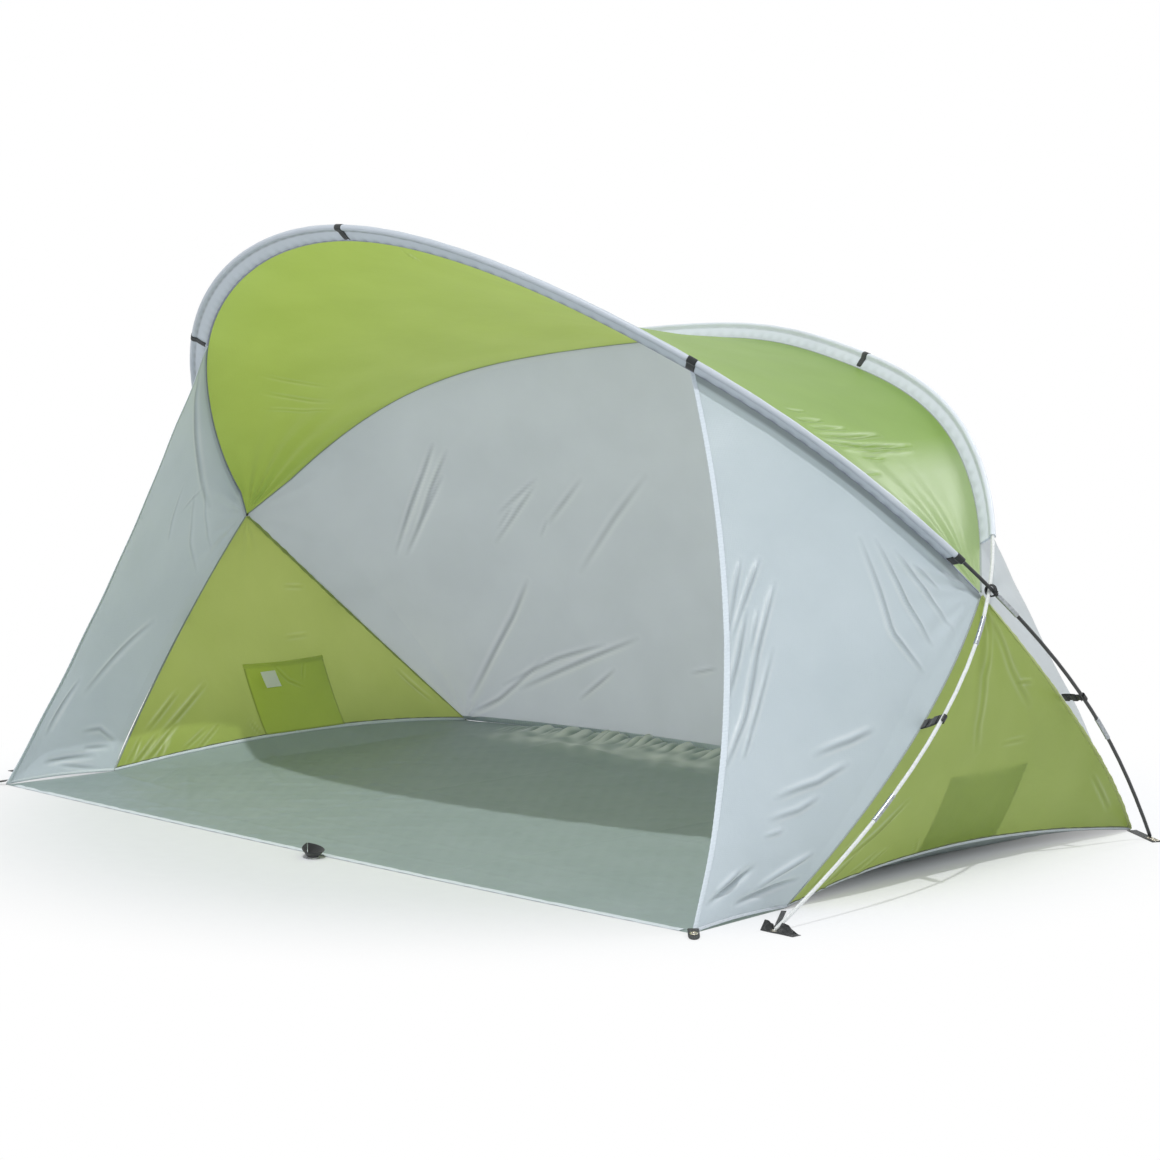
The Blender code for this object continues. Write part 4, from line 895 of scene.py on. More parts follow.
WING_RIGHT_FOLDS = [
    ([(0.036, 0.533), (0.129, 0.649), (0.172, 0.706)], 0.008, 0.007),
    ([(0.0, 0.5), (0.060, 0.627), (0.091, 0.688)], 0.008, 0.0056),
    ([(0.130, 0.528), (0.162, 0.609)], 0.007, 0.0042),
    ([(0.125, 0.433), (0.174, 0.554), (0.236, 0.674)], 0.009, 0.007),
    ([(0.021, 0.423), (0.065, 0.500), (0.110, 0.599)], 0.009, 0.007),
    ([(0.033, 0.297), (0.118, 0.395), (0.170, 0.515)], 0.009, 0.007),
    ([(0.147, 0.345), (0.182, 0.417), (0.240, 0.547)], 0.009, 0.0056),
    ([(0.140, 0.321), (0.160, 0.371)], 0.007, 0.0042),
    ([(0.570, 0.877), (0.749, 0.717), (0.929, 0.678)], 0.009, 0.0084),
    ([(0.630, 0.900), (0.774, 0.812), (0.926, 0.755)], 0.008, 0.0084),
    ([(0.704, 0.910), (0.835, 0.874), (0.963, 0.838)], 0.008, 0.007),
    ([(0.781, 0.914), (0.889, 0.907)], 0.007, 0.0056),
    ([(0.557, 0.369), (0.722, 0.430), (0.821, 0.480)], 0.012, 0.007),
    ([(0.399, 0.258), (0.629, 0.314), (0.768, 0.378)], 0.011, 0.007),
    ([(0.401, 0.211), (0.579, 0.244), (0.683, 0.283)], 0.010, 0.0056),
    ([(0.406, 0.177), (0.537, 0.195)], 0.008, 0.0042),
    ([(0.094, 0.046), (0.298, 0.078), (0.421, 0.112)], 0.009, -0.0098),
    ([(0.380, 0.033), (0.638, 0.051), (0.904, 0.082)], 0.009, -0.0084),
    ([(0.141, 0.064), (0.300, 0.105)], 0.008, 0.007),
    ([(0.537, 0.061), (0.730, 0.113), (0.86, 0.15)], 0.009, 0.0084),
]
WING_LEFT_FOLDS = [
    ([(0.468, 0.806), (0.517, 0.725), (0.559, 0.675)], 0.009, 0.0035),
    ([(0.671, 0.876), (0.573, 0.767)], 0.009, 0.0030),
    ([(0.771, 0.050), (0.470, 0.045), (0.30, 0.040)], 0.010, 0.008),
    ([(0.876, 0.079), (0.624, 0.072)], 0.009, 0.006), ([(0.240, 0.253), (0.175, 0.116)], 0.012, 0.0078),
    ([(0.75, 0.471), (0.382, 0.226)], 0.014, 0.0065),
    ([(0.04, 0.958), (0.452, 0.916), (0.774, 0.865)], 0.014, 0.0078),
    ([(0.448, 0.029), (0.852, 0.011)], 0.009, 0.006), ([(0.60, 0.85), (0.76, 0.74), (0.92, 0.69)], 0.009, 0.0030),
    ([(0.66, 0.90), (0.80, 0.83), (0.93, 0.78)], 0.008, 0.0030),
    ([(0.90, 0.10), (0.72, 0.13), (0.55, 0.12)], 0.010, 0.006),
]


def relaxed(grid, height, wave, seed, free=(), width=0.04):
    """Slow, shallow waves over the whole cloth."""
    lift = ripple(grid, wave, seed) * height * away_from_edges(grid, width, free)
    return grid + normals(grid) * lift[..., None]


def slumped(grid, reach, height, full):
    """The cloth belled outwards just above its low edge, as where it has slackened on the ground."""
    z = np.maximum(grid[..., 2] - grid[:1, :, 2], 0)
    belly = (1 - np.exp(-z / height)) * np.exp(-((z / (6 * height)) ** 2))
    along = np.linspace(0, 1, grid.shape[1])[None, :]
    ends = np.clip(np.minimum(along - full[0], full[1] - along) / 0.15, 0, 1)
    moved = grid.copy()
    moved[..., 0] += reach * belly * ends
    return moved


# Low at its right end the roof stands steep to the light and shows paler: up to this share of its length, fading
# over this share, by this much tone.
PALE_END = 0.150
PALE_FADE = 0.045
PALE_TONE = 0.38
ROOF = relaxed(roof_grid(), height=0.0016, wave=0.24, seed=0.7, width=0.08)
ROOF, ROOF_TONE = folded(ROOF, ROOF_FOLDS, tension=[((0.0, 0.5), 22, 0.30, 0.0035), ((1.0, 0.5), 22, 0.30, 0.0035)])
ROOF_TONE = ROOF_TONE + PALE_TONE * np.clip((PALE_END - np.linspace(0, 1, ROOF.shape[1])) / PALE_FADE, 0, 1)
WALL = relaxed(wall_grid(), height=0.0020, wave=0.20, seed=1.9, width=0.06)
WALL, WALL_TONE = folded(WALL, WALL_FOLDS, tension=[
    ((0.0, 0.0), 18, 0.16, 0.004), ((1.0, 0.0), 18, 0.16, 0.004),
    ((0.0, 1.0), 16, 0.22, 0.003), ((1.0, 1.0), 16, 0.22, 0.003)])
SIDE = relaxed(side_grid(), height=0.0012, wave=0.15, seed=3.2)
SIDE_LEFT, SIDE_LEFT_TONE = folded(SIDE, SIDE_FOLDS, free=("low",), width=0.020,
                                   tension=[((0.5, 1.0), 14, 0.08, 0.002)])
SIDE, SIDE_TONE = folded(SIDE, SIDE_TOP_FOLDS + SIDE_FOLDS, free=("low",), width=0.020,
                         tension=[((0.5, 1.0), 14, 0.16, 0.003)])
WING = relaxed(wing_grid(), height=0.0016, wave=0.19, seed=4.6, free=("left",))
wing_edges = dict(free=("left", "low"), width=0.020, tension=[((1.0, 1.0), 16, 0.18, 0.003)])
WING_RIGHT, WING_RIGHT_TONE = folded(WING, WING_RIGHT_FOLDS, **wing_edges)
WING_LEFT = slumped(WING, reach=0.009, height=0.030, full=(0.0, 1.15))
WING_LEFT, WING_LEFT_TONE = folded(WING_LEFT, WING_LEFT_FOLDS, **wing_edges)


def sleeve_shadow_and_seam_layers(grid, tone, width, depth):
    """Darkens the wing under its top seam: partly the sleeve's inner layers lying behind it and stopping the light
    that comes through, partly painted shadow of the sleeve.
    """
    steps = np.linalg.norm(np.diff(grid[::-1], axis=0), axis=2)
    reach = np.concatenate([np.zeros((1, grid.shape[1])), np.cumsum(steps, axis=0)])[::-1]
    return tone - depth * np.clip((width - reach) / 0.004 + 0.5, 0, 1)


# Painted shadow of the sleeve on the wings, deeper on the right wing than on the left.
WING_RIGHT_TONE = sleeve_shadow_and_seam_layers(WING_RIGHT, WING_RIGHT_TONE, width=0.018, depth=1.5)
WING_LEFT_TONE = sleeve_shadow_and_seam_layers(WING_LEFT, WING_LEFT_TONE, width=0.014, depth=0.7)

roof = surface("roof_cloth", ROOF, ROOF_GREEN, nodes=("roof_panel",), tone=ROOF_TONE)
wall = surface("back_wall_cloth", WALL, WALL_GREY, nodes=("back_wall",), tone=WALL_TONE)
for hand, flip in HANDS:
    shape, tone = (SIDE_LEFT, SIDE_LEFT_TONE) if flip else (SIDE, SIDE_TONE)
    piece = surface(f"side_cloth_{hand}", shape, SIDE_GREEN, nodes=(f"side_panel_{hand}",),
                    tone=tone, mirrored=flip)
    shape, tone = (WING_LEFT, WING_LEFT_TONE) if flip else (WING_RIGHT, WING_RIGHT_TONE)
    piece = surface(f"wing_cloth_{hand}", shape, WING_GREY, nodes=(f"wing_{hand}",),
                    tone=tone, mirrored=flip)


# Fold lines: start, end, half width and height.
FLOOR_LINES = [
    ((-0.95, -0.02), (0.95, -0.02), 0.006, 0.0022), ((-0.60, 0.09), (0.88, 0.10), 0.006, 0.0016),
    ((0.45, -0.09), (0.62, 0.20), 0.008, 0.0020), ((-0.33, -0.10), (-0.31, 0.95), 0.005, 0.0018),
    ((0.34, -0.10), (0.33, 0.92), 0.005, 0.0018), ((-0.90, 0.44), (0.90, 0.45), 0.005, 0.0018),
    ((-0.56, 0.95), (-0.45, 1.02), 0.010, 0.0060), ((-0.50, 1.00), (-0.20, 0.97), 0.012, 0.0080),
    ((-0.24, 0.99), (0.02, 0.96), 0.012, 0.0070), ((-0.42, 0.90), (-0.12, 0.86), 0.014, 0.0060),
    ((-0.85, 0.25), (-0.55, 0.02), 0.008, 0.0028), ((-0.95, 0.12), (-0.70, 0.10), 0.008, 0.0032),
    ((-0.92, 0.30), (-0.80, 0.12), 0.008, 0.0040), ((-0.80, 0.42), (-0.60, 0.30), 0.008, 0.0024),
]
# The groundsheet has spare cloth below this stretch of the wall's hem: pleats at the hem, and a soft roll in front.
SLACK_MIDDLE = -0.38
SLACK_HALF = 0.36
PLEAT_Y = 1.100
PLEAT_PITCH = 0.029
PLEAT_HEIGHT = 0.0080
ROLL_Y = 1.055
ROLL_HEIGHT = 0.010


def floor_folds():
    """The groundsheet's pleats below the wall's hem, and faint fold lines from its packing, with painted highlight on
    the pleats and on the roll in front of them.
    """
    grid = floor_grid()
    x, y, z = grid[..., 0], grid[..., 1], grid[..., 2]
    slack = np.exp(-(((x - SLACK_MIDDLE) / SLACK_HALF) ** 6))
    near = slack * np.exp(-(((y - PLEAT_Y) / 0.040) ** 2))
    roll = slack * np.exp(-(((y - ROLL_Y) / 0.075) ** 4))
    beat = np.sin(x * math.tau / PLEAT_PITCH + 2.5 * np.sin(x * 17) + 1.5 * np.sin(x * 43) + 7 * y)
    wave = (1 + beat) * (0.7 + 0.3 * np.sin(x * 57 + 1))
    lift = PLEAT_HEIGHT * near * wave + ROLL_HEIGHT * roll * (1 + 0.35 * ripple(grid, 0.07, 2.2))
    # Painted highlight on the pleats' crests and on the roll, painted shade between the pleats.
    pleats = near * (wave - 0.8) + 0.55 * roll * (1 + 0.7 * ripple(grid, 0.05, 3.1))
    for start, end, half, height in FLOOR_LINES:
        start = np.array(start)
        step = np.array(end) - start
        share = np.clip(((x - start[0]) * step[0] + (y - start[1]) * step[1]) / (step @ step), 0, 1)
        near = np.hypot(x - start[0] - share * step[0], y - start[1] - share * step[1])
        lift += height * np.exp(-((near / half) ** 1.5)) * np.sin(math.pi * np.clip(share, 0.03, 0.97)) ** 0.6
    lift += 0.0009 * (1 + ripple(grid, 0.16, 6.2)) + 0.0005 * (1 + ripple(grid, 0.045, 7.7)) ** 2
    edge = away_from_edges(grid, 0.03)
    grid[..., 2] = z + lift * edge
    return grid, np.clip(1.3 * pleats, -1.6, 1.1) * edge


FLOOR, FLOOR_TONE = floor_folds()
ground = surface("groundsheet_cloth", FLOOR, FLOOR_CLOTH, nodes=("groundsheet",),
                 tone=FLOOR_TONE)


# Seams and hems

seam = dict(width=0.0042, thick=0.0022)
bound_seam("roof_front_seam", ROOF[0], ROOF[1] - ROOF[0], look=SLEEVE_SEAM, slot="grey_polyester", **seam)
bound_seam("roof_rear_seam", ROOF[-1], ROOF[-2] - ROOF[-1], look=DARK_SEAM, slot="grey_polyester", **seam)
hem("wall_hem", WALL, "low", 0.013, WALL_HEM, "grey_polyester", lift=0.0005)
for hand, flip in HANDS:
    shape = WING_LEFT if flip else WING_RIGHT
    flips = dict(mirrored=flip)
    bound_seam(f"side_front_seam_{hand}", SIDE[:, 0], SIDE[:, 1] - SIDE[:, 0], look=DARK_SEAM,
               slot="grey_polyester", **seam, **flips)
    bound_seam(f"side_rear_seam_{hand}", SIDE[:, -1], SIDE[:, -2] - SIDE[:, -1], width=0.0070, thick=0.0020,
               look=OLIVE_SEAM, slot="grey_polyester", lumps=0.25, **flips)
    hem(f"wing_front_hem_{hand}", shape, "left", 0.010, DOUBLE_HEM, "grey_polyester", wavy=0.0004, **flips)
    hem(f"wing_low_trim_{hand}", shape, "low", 0.006, HEM_TAPE, "white_tape", out=0.0010, **flips)
    hem(f"side_low_trim_{hand}", SIDE, "low", 0.006, HEM_TAPE, "white_tape", out=0.0012, **flips)
    line = edge_rows(SIDE, "low", 0.0075, 2)[1]
    into = SIDE[1] - SIDE[0]
    bound_seam(f"side_low_binding_{hand}", line, into, width=0.0022, thick=0.0020, look=BLACK_EDGE,
               slot="black_webbing", lumps=0.5, **flips)


def front_tape():
    """White tape folded over the groundsheet's front edge."""
    half = FRONT_CORNER[0] - 0.030
    edge = bowed(FRONT_CORNER, FRONT_CORNER * MIRROR, FRONT_HEM_BOW, 240)[::-1]
    x = np.linspace(-half, half, 241)
    y = np.interp(x, edge[:, 0], edge[:, 1])
    rows = []
    for back, up in ((0.0005, 0.0004), (-0.0004, 0.0008), (0.0010, 0.0013), (0.0050, 0.0017), (0.0090, 0.0018),
                     (0.0130, 0.0017), (0.0156, 0.0013), (0.0160, 0.0008)):
        wave = 0.0003 * np.sin(x * 140) * np.sin(x * 31)
        rows.append(np.column_stack([x, y + back, up + wave + 0 * x]))
    grid = np.array(rows).transpose(1, 0, 2)
    return surface("front_hem_tape_cloth", grid, HEM_TAPE, nodes=("front_hem_tape",))


tape = front_tape()


# Pockets and care label

POCKET_Y = (0.537, 0.758)
POCKET_Z = (0.038, 0.186)
POCKET_STAND = 0.016
POCKET_CELLS = 24
POCKET_FINE = 96


def side_place(y, z):
    """The side cloth's X at a place seen from the side."""
    flat = SIDE[..., 1:].reshape(-1, 2)
    distance = np.hypot(flat[:, 0] - y, flat[:, 1] - z)
    near = np.argsort(distance)[:4]
    weight = 1 / (distance[near] + 1e-6)
    return float(np.sum(SIDE[..., 0].ravel()[near] * weight) / weight.sum())


def pocket_grid():
    grid = np.zeros((POCKET_CELLS + 1, POCKET_CELLS + 1, 3))
    for r, v in enumerate(np.linspace(0, 1, POCKET_CELLS + 1)):
        for c, u in enumerate(np.linspace(0, 1, POCKET_CELLS + 1)):
            y = POCKET_Y[0] + u * (POCKET_Y[1] - POCKET_Y[0])
            z = POCKET_Z[0] + v * (POCKET_Z[1] - POCKET_Z[0])
            stand = POCKET_STAND * math.sin(math.pi * u) ** 0.7 * math.sin(math.pi * v / 2)
            fold = 0.0012 * math.sin(9 * u + 4 * v) * math.sin(math.pi * u) * v
            grid[r, c] = (side_place(y, z) - 0.0016 - stand - fold, y, z)
    share = np.linspace(0, 1, POCKET_FINE + 1)
    v, u = np.meshgrid(share, share, indexing="ij")
    return sample(grid, np.column_stack([u.ravel(), v.ravel()])).reshape(POCKET_FINE + 1, POCKET_FINE + 1, 3)


POCKET = pocket_grid()
POCKET_CREASES = [
    ([(0.30, 0.98), (0.45, 0.72), (0.62, 0.60)], 0.006, 0.003), ([(0.7, 0.95), (0.62, 0.7)], 0.006, 0.002),
]
POCKET, POCKET_TONE = folded(POCKET, POCKET_CREASES, free=("high",), width=0.02)
# Its turned and sewn edges lie double over this width, so they show as a darker outline.
POCKET_EDGE = 0.0065
POCKET_TONE = POCKET_TONE - 2.0 * (1 - np.clip(away_from_edges(POCKET, POCKET_EDGE) * 1.3, 0, 1))
LABEL_WIDTH = 0.041
LABEL_HEIGHT = 0.037
LABEL_FRONT_Y = 0.555
LABEL_HIGH_Z = 0.172
LABEL_SLANT = 0.016


def label_grid():
    """A blank satin label hanging from the pocket, its low corners curled a little."""
    low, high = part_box("care_label")
    inner = -(high[0] + low[0]) / 2
    grid = np.zeros((25, 25, 3))
    for r, v in enumerate(np.linspace(0, 1, 25)):
        for c, u in enumerate(np.linspace(0, 1, 25)):
            curl = 0.0030 * v**2 * (0.4 + 0.6 * (2 * u - 1) ** 2)
            y = LABEL_FRONT_Y + LABEL_WIDTH * u + LABEL_SLANT * v
            grid[r, c] = (inner - curl, y, LABEL_HIGH_Z - LABEL_HEIGHT * v)
    return grid


for hand, flip in HANDS:
    piece = surface(f"pocket_cloth_{hand}", POCKET, POCKET_GREEN, nodes=(f"pocket_{hand}",),
                    tone=POCKET_TONE, mirrored=flip)
    hem(f"pocket_mouth_hem_{hand}", POCKET, "high", 0.009, POCKET_GREEN, "dark_green_polyester", lift=0.0006,
        mirrored=flip)
label = surface("care_label_cloth", label_grid(), LABEL, "care_label", ("care_label",), mirrored=True)


# Webbing, eyelets and ties

# How far up their poles the hooks sit, and where the webbing ends short of the pole's axis.
FRONT_HOOK_AT = 0.514
REAR_HOOK_AT = 0.406
HOOK_REACH = 0.013
# The webbing starts this far out from its seam line, so that it clears the seam's roll as it swings.
FRONT_ROOT = 0.0032
REAR_ROOT = 0.0062
STRAP_THICK = 0.0016
LAP_THICK = 0.0013
LAP_STAND = 0.0017


def leg_strap(prefix, arch, hook_at, edge, root, hand, flip):
    """Webbing from the side seam to the hook, doubled where it is sewn and where it holds the hook."""
    pole_point = arch.at(hook_at)
    stitch = edge[np.argmin(np.linalg.norm(edge - pole_point, axis=1))]
    along = arch.tangent(hook_at)
    out = pole_point - stitch
    out = unit(out - along * np.dot(out, along))
    swing = np.cross(along, out)
    start = stitch + out * root
    reach = np.dot(pole_point - start, out)
    origin = pole_point - out * reach
    length = reach - HOOK_REACH
    body = f"{prefix}_strap_{hand}"
    share = np.linspace(0, 1, 15)
    path = [origin + out * (length * t) + swing * (0.0008 * math.sin(math.pi * t)) for t in share]
    webbing(f"{prefix}_strap_web_{hand}", path, along, WEBBING_WIDTH, STRAP_THICK, body,
            (f"{prefix}_strap_{hand}",), flip)
    for number, (low, high) in enumerate(((0.02, 0.36), (0.62, 0.99))):
        lap = [origin + out * (length * t) - swing * LAP_STAND for t in np.linspace(low, high, 6)]
        webbing(f"{prefix}_strap_lap_{hand}_{number + 1}", lap, along, WEBBING_WIDTH * 0.97, LAP_THICK, body, (), flip)


TAB_HOLE = 0.0044
TAB_MIDDLE = 0.0009
TAB_HALF_THICK = 0.0007


def tab(name, node, centre, arms, raised, flip):
    """Webbing round an eyelet. Each arm is a heading, a reach and half a width. raised turns its far part on edge."""
    angles = set(np.linspace(0, math.tau, 96, endpoint=False))
    for heading, reach, half in arms:
        bend = math.atan2(half, reach)
        angles |= {(heading + bend) % math.tau, (heading - bend) % math.tau}
    section = [(0, 0), (0.03, 0.7), (0.10, 1), (0.3, 1), (0.5, 1), (0.7, 1), (0.9, 1), (0.97, 0.7), (1, 0)]
    section += [(r, -h) for r, h in section[-2:0:-1]]
    rows = []
    for angle in sorted(angles):
        reaches = []
        for heading, reach, half in arms:
            ahead = math.cos(angle - heading)
            aside = abs(math.sin(angle - heading))
            end = reach if ahead > 0 else half
            reaches.append(min(end / max(abs(ahead), 1e-9), half / max(aside, 1e-9)))
        outer = max(reaches)
        row = []
        for r, h in section:
            spoke = TAB_HOLE + (outer - TAB_HOLE) * r
            x = spoke * math.cos(angle)
            y = spoke * math.sin(angle)
            z = TAB_MIDDLE + TAB_HALF_THICK * h
            far = max(abs(x) - 0.009, 0) / 0.030 if abs(y) <= WEBBING_WIDTH / 2 + 1e-6 else 0
            stand = raised * math.sin(math.pi * min(far + 0.12 * (far > 0), 1)) ** 0.6 if far > 0 else 0
            t = y + WEBBING_WIDTH / 2
            y_up = -WEBBING_WIDTH / 2 + t * math.cos(stand)
            row.append((x, y_up if stand else y, z + (t * math.sin(stand) if stand else 0)))
        rows.append(row)
    rows.append(rows[0])
    return surface(name, np.array(rows) + centre, WEBBING, "tent", (node,), around=True,
                   mirrored=flip)


CORNER_TAB_HEADING = math.radians(-43)
CORNER_TAB_HALF = 0.026
# Its root lies this high on the wing's edge, and its eyelet at this height.
CORNER_TAB_RISE = 0.008
CORNER_EYELET_HEIGHT = 0.0053
# Its end is a half ellipse that starts this far past the eyelet's middle and is this long.
CORNER_TIP_START = 0.012
CORNER_TIP = 0.014


def corner_tab(hand, flip):
    """The tongue at the front corner: webbing with a rounded end, an eyelet and a sewn root."""
    heading = np.array([math.cos(CORNER_TAB_HEADING), math.sin(CORNER_TAB_HEADING), 0])
    root_edge = bowed(FRONT_LINE[END_CELLS + WING_CELLS], FRONT_CORNER + LIFT, WING_EDGE_BOW, SPLINE_POINTS)
    root = root_edge[np.argmin(np.abs(root_edge[:, 2] - CORNER_TAB_RISE))] + heading * 0.0012
    centre = root + heading * CORNER_TAB_HALF
    side = np.array([-heading[1], heading[0], 0])
    half = WEBBING_WIDTH / 2
    section = [(0, 0), (0.04, 0.7), (0.12, 1), (0.5, 1), (0.88, 1), (0.96, 0.7), (1, 0)]
    section += [(r, -h) for r, h in section[-2:0:-1]]
    rows = []
    for angle in np.linspace(0, math.tau, 97):
        ahead, aside = math.cos(angle), abs(math.sin(angle))
        if ahead > 0:
            reach = min(CORNER_TAB_HALF / max(ahead, 1e-9), half / max(aside, 1e-9))
            for _ in range(12):
                x = reach * ahead
                past = max(x - CORNER_TIP_START, 0) / CORNER_TIP
                if reach * aside > half * math.sqrt(max(1 - past**2, 0)) + 1e-6:
                    reach *= 0.96
        else:
            reach = min(CORNER_TAB_HALF / max(-ahead, 1e-9), half / max(aside, 1e-9))
        row = []
        for r, h in section:
            spoke = TAB_HOLE + (reach - TAB_HOLE) * r
            x = spoke * math.cos(angle)
            y = spoke * math.sin(angle)
            drop = CORNER_TAB_RISE * (1 - (x + CORNER_TAB_HALF) / (2 * CORNER_TAB_HALF))
            z = max(drop, 0) + TAB_MIDDLE + TAB_HALF_THICK * h
            point = root * np.array([1, 1, 0]) + heading * (x + CORNER_TAB_HALF) + side * y
            row.append((point[0], point[1], z))
        rows.append(row)
    body = f"corner_tab_{hand}"
    surface(f"corner_tab_web_{hand}", rows, WEBBING, body, (f"corner_tab_{hand}",), around=True,
            mirrored=flip)
    tilt = unit(heading * CORNER_TAB_RISE + np.array([0, 0, 2 * CORNER_TAB_HALF]))
    middle = np.array([centre[0], centre[1], CORNER_EYELET_HEIGHT])
    eyelet(f"corner_tab_eyelet_{hand}", middle, tilt, body, mirrored=flip)


# A foot tab's eyelet has its middle this far up the pole from the pole's end, and its ring at this height.
FOOT_DEPTH = 0.0055
EYELET_HEIGHT = 0.0014
PEG_EYELET_AWAY = 0.021
FRONT_TAB_OUT = 0.052
FRONT_TAB_IN = 0.024
REAR_TAB_OUT = 0.034
# The webbing towards a corner of the tent ends this far short of it.
FRONT_LINK_GAP = 0.0225
REAR_LINK_GAP = 0.0050
FRONT_LINK_HALF = 0.0045
FRONT_TAB_RAISED = math.radians(58)
SIDE_FRONT_EDGE = bowed(APEX, SIDE_CORNER + LIFT, SIDE_FRONT_BOW, SPLINE_POINTS)
SIDE_REAR_EDGE = bowed(APEX, REAR_CORNER + LIFT, SIDE_REAR_BOW, SPLINE_POINTS)
for hand, flip in HANDS:
    leg_strap("front_leg", REAR_ARCH, FRONT_HOOK_AT, SIDE_FRONT_EDGE, FRONT_ROOT, hand, flip)
    leg_strap("rear_leg", FRONT_ARCH, REAR_HOOK_AT, SIDE_REAR_EDGE, REAR_ROOT, hand, flip)
    corner_tab(hand, flip)
    for prefix, arch, corner, gap in (("front", REAR_ARCH, SIDE_CORNER, FRONT_LINK_GAP),
                                      ("rear", FRONT_ARCH, REAR_CORNER, REAR_LINK_GAP)):
        foot = arch.at(0) + arch.tangent(0) * FOOT_DEPTH
        foot[2] = 0
        link = corner - foot
        inner = math.atan2(link[1], link[0])
        half = WEBBING_WIDTH / 2
        arms = [(inner, np.linalg.norm(link) - gap, half if prefix == "rear" else FRONT_LINK_HALF)]
        if prefix == "front":
            arms += [(0, FRONT_TAB_OUT, half), (math.pi, FRONT_TAB_IN, half)]
        else:
            arms += [(inner + math.pi, REAR_TAB_OUT, half)]
        tab(f"{prefix}_foot_web_{hand}", f"{prefix}_foot_tab_{hand}", foot, arms,
            FRONT_TAB_RAISED if prefix == "front" else 0, flip)
        eyelet(f"{prefix}_foot_eyelet_{hand}", foot + np.array([0, 0, EYELET_HEIGHT]), (0, 0, 1), mirrored=flip)
        if prefix == "rear":
            spot = foot + unit(foot - REAR_CORNER) * PEG_EYELET_AWAY
            eyelet(f"rear_peg_eyelet_{hand}", spot + np.array([0, 0, EYELET_HEIGHT]), (0, 0, 1), inner=0.0046,
                   outer=0.0082, mirrored=flip)


LOOP_ROOT = (0.012, -0.0023)
LOOP_REACH = 0.062
LOOP_SWELL = 0.0140
# Half the distance between its two ends, and its edge's height above the ground.
LOOP_GAP = 0.0012
LOOP_STAND = 0.0003
LOOP_HEADING = math.radians(-25)
LOOP_LEAN = math.radians(52)


def peg_loop():
    """Webbing in a closed loop, both of its ends sewn at the front hem. Away from them it leans outwards."""
    base = np.array([LOOP_ROOT[0], FRONT_CORNER[1] + FRONT_HEM_BOW[1] / 4 + LOOP_ROOT[1], 0])
    heading = np.array([math.cos(LOOP_HEADING), math.sin(LOOP_HEADING), 0])
    side = np.array([-heading[1], heading[0], 0])
    path = []
    across = []
    for t in np.linspace(0, 1, 61):
        reach = LOOP_REACH * math.sin(math.pi * t)
        swell = math.sin(math.tau * t)
        point = base + heading * reach + side * (LOOP_SWELL * swell + LOOP_GAP * (1 - 2 * t))
        lean = LOOP_LEAN * math.sin(math.pi * t)
        outward = heading * -math.cos(math.pi * min(2 * t, 2 - 2 * t)) + side * swell
        across.append(math.cos(lean) * np.array([0, 0, 1]) + math.sin(lean) * unit(outward))
        height = LOOP_STAND + WEBBING_WIDTH / 2 * math.cos(lean) + 0.0008 * math.sin(lean)
        path.append(point + np.array([0, 0, height]))
    webbing("front_peg_loop_web", path, across, WEBBING_WIDTH, 0.0014, "peg_loop", ("front_peg_loop",))


peg_loop()


CORD_RADIUS = 0.00125
CORD_TURNS = 3
# The tie's half width, its half height and how far it runs along the poles, with slight unevenness.
TIE_HALF_WIDTH = 0.0112
TIE_HALF_HEIGHT = 0.0104
TIE_RUN = 0.0084
TIE_UNEVEN = 0.0006


def crossing_tie(hand, flip):
    """Braided cord wound three times round both poles where they cross."""
    path = []
    for t in np.linspace(0, 1, 145):
        angle = t * CORD_TURNS * math.tau
        wide = TIE_HALF_WIDTH + TIE_UNEVEN * math.sin(angle * 0.7)
        ahead = -TIE_RUN / 2 + TIE_RUN * t + TIE_UNEVEN * math.sin(angle)
        path.append(CROSSING + np.array((wide * math.cos(angle), ahead, TIE_HALF_HEIGHT * math.sin(angle))))
    tube(f"crossing_cord_{hand}", path, CORD_RADIUS, CORD, (f"crossing_tie_{hand}",), mirrored=flip)


for hand, flip in HANDS:
    crossing_tie(hand, flip)


# Floor, light and camera

FLOOR_REACH = 40
# The floor turns from shaded to even white between these distances from the middle.
SHADOW_FADE = (0.80, 1.48)
HORIZON = 1.06
OVERHEAD = 0.62
# Name, strength, spread in degrees and direction: a key from the front, and a broad light from behind.
LAMPS = [
    ("studio_key", 1.70, 1.0, (0.28, -0.315, 0.91)),
    ("studio_back_light", 0.80, 18.0, (0.06, 0.78, 0.62)),
]
# Yaw, pitch and roll, in radians
CAMERA_TURN = (0.8158352, 0.1173017, -0.007236891)
CAMERA_PLACE = (5.0245162, -4.6315233, 1.2664454)
FOCAL_LENGTH = 107.476


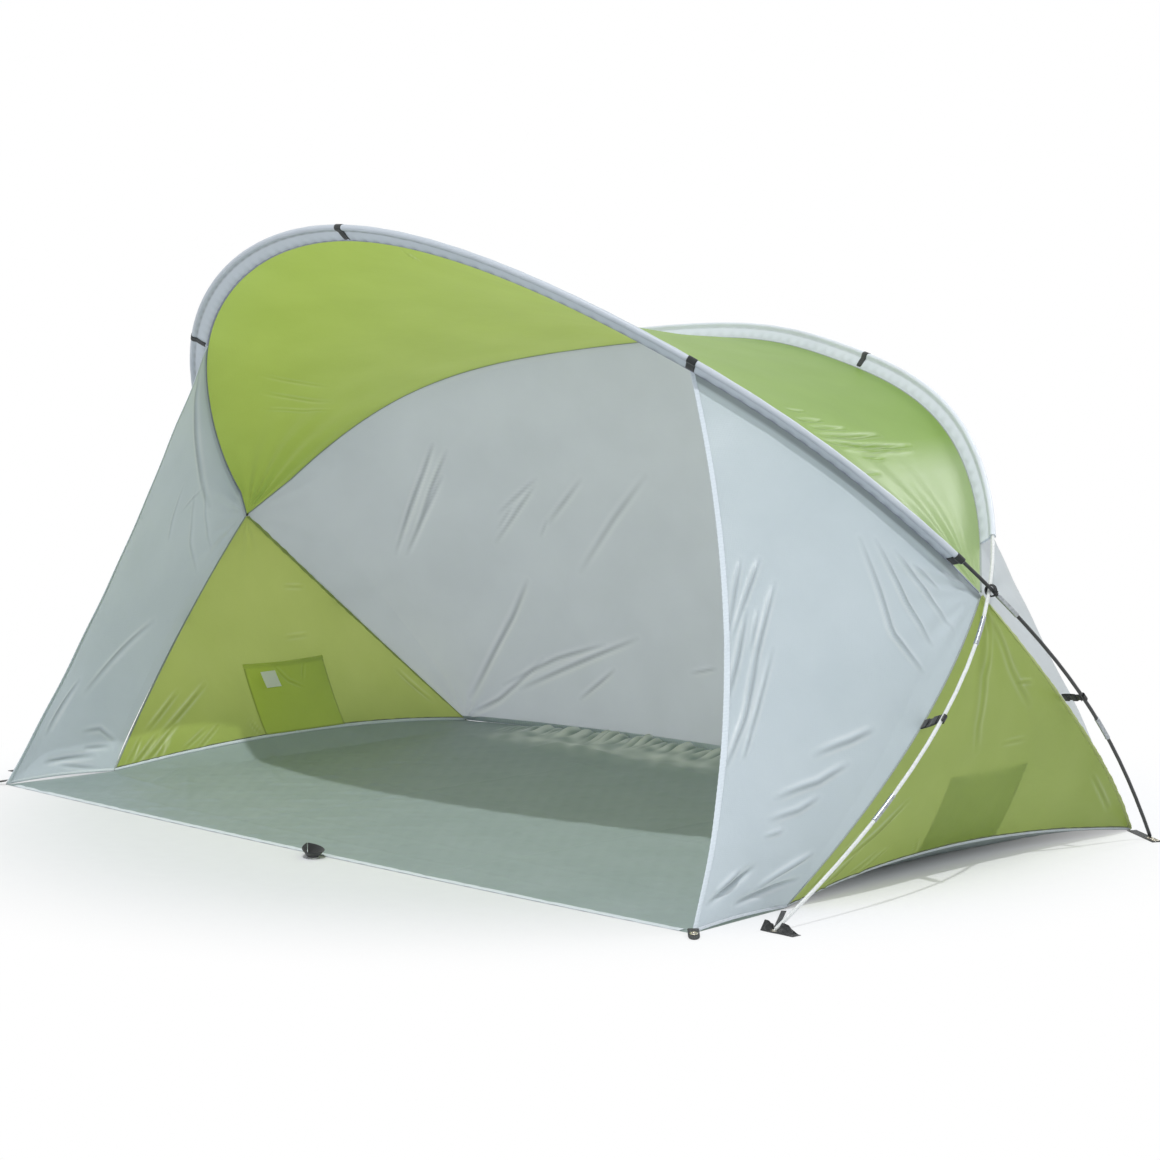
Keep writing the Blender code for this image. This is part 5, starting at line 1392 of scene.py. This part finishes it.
def studio_floor():
    """White floor that keeps the tent's shadow near it and turns into an even white further out."""
    count, rings = 96, 24
    turn = np.linspace(0, math.tau, count, endpoint=False)
    reach = np.linspace(0, 1, rings) ** 2 * FLOOR_REACH
    points = [(r * math.cos(a), r * math.sin(a), 0) for r in reach[1:] for a in turn]
    points.append((0, 0, 0))
    faces = [[(count * (rings - 1)), i, (i + 1) % count] for i in range(count)]
    for ring in range(rings - 2):
        for i in range(count):
            j = (i + 1) % count
            faces.append([ring * count + i, (ring + 1) * count + i, (ring + 1) * count + j, ring * count + j])
    mesh = bpy.data.meshes.new("studio_floor")
    mesh.from_pydata(points, [], faces)
    made, tree = new_material("matt_white_studio_floor")
    solid = add(tree, "ShaderNodeTexCoord").outputs["Object"]
    grain = noise(tree, solid, 30.0, 4.0)
    face = {"Base Color": shades(tree, grain, "#D6D8DA", "#DADCDE"), "Roughness": 0.8, "Specular IOR Level": 0.2}
    paint = add(tree, "ShaderNodeBsdfPrincipled", face).outputs[0]
    white = add(tree, "ShaderNodeEmission", {"Color": (1, 1, 1, 1), "Strength": 1.0}).outputs[0]
    far = add(tree, "ShaderNodeVectorMath", {0: solid}, operation="LENGTH").outputs["Value"]
    fade = ranged(tree, far, *SHADOW_FADE, interpolation_type="SMOOTHSTEP")
    path = add(tree, "ShaderNodeLightPath").outputs
    seen = maths(tree, "MAXIMUM", path["Is Camera Ray"], path["Is Glossy Ray"])
    share = maths(tree, "MULTIPLY", fade, seen)
    both = add(tree, "ShaderNodeMixShader", {0: share, 1: paint, 2: white}).outputs[0]
    add(tree, "ShaderNodeOutputMaterial", {"Surface": both})
    mesh.materials.append(made)
    floor = bpy.data.objects.new("studio_floor", mesh)
    bpy.context.scene.collection.objects.link(floor)


def studio_light():
    world = bpy.data.worlds.new("studio")
    bpy.context.scene.world = world
    world.use_nodes = True
    tree = world.node_tree
    tree.nodes.clear()
    path = add(tree, "ShaderNodeLightPath").outputs
    seen = maths(tree, "MAXIMUM", path["Is Camera Ray"], path["Is Glossy Ray"])
    seen = maths(tree, "MAXIMUM", seen, path["Is Transmission Ray"])
    # Large soft lights stand round the tent, so that the level is higher near the horizon than overhead.
    place = add(tree, "ShaderNodeTexCoord").outputs["Generated"]
    height = add(tree, "ShaderNodeSeparateXYZ", {0: place}).outputs[2]
    level = ranged(tree, height, 0.0, 1.0, HORIZON, OVERHEAD)
    soft = add(tree, "ShaderNodeBackground", {"Color": linear("#FAFBFF"), "Strength": level}).outputs[0]
    white = add(tree, "ShaderNodeBackground", {"Color": (1, 1, 1, 1), "Strength": 1.0}).outputs[0]
    both = add(tree, "ShaderNodeMixShader", {0: seen, 1: soft, 2: white}).outputs[0]
    add(tree, "ShaderNodeOutputWorld", {"Surface": both})
    for name, strength, spread, toward in LAMPS:
        lamp = bpy.data.lights.new(name, "SUN")
        lamp.energy = strength
        lamp.angle = math.radians(spread)
        made = bpy.data.objects.new(name, lamp)
        light = unit(np.array(toward))
        first = unit(np.cross((0, 1, 0), light))
        second = np.cross(light, first)
        made.matrix_world = Matrix(np.column_stack([first, second, light]).tolist()).to_4x4()
        bpy.context.scene.collection.objects.link(made)


def camera():
    """A long lens a little above the tent, off its right front corner."""
    yaw, pitch, roll = CAMERA_TURN
    right = np.array([math.cos(yaw), math.sin(yaw), 0])
    back = np.array([math.sin(yaw) * math.cos(pitch), -math.cos(yaw) * math.cos(pitch), math.sin(pitch)])
    up = np.cross(back, right)
    right, up = (math.cos(roll) * right + math.sin(roll) * up, math.cos(roll) * up - math.sin(roll) * right)
    lens = bpy.data.cameras.new("camera")
    lens.sensor_width = 36
    lens.lens = FOCAL_LENGTH
    lens.clip_end = 200
    made = bpy.data.objects.new("camera", lens)
    place = Matrix(np.column_stack([right, up, back]).tolist()).to_4x4()
    place.translation = CAMERA_PLACE
    made.matrix_world = place
    bpy.context.scene.collection.objects.link(made)
    bpy.context.scene.camera = made


studio_floor()
studio_light()
camera()
bpy.context.scene.view_settings.view_transform = "Standard"
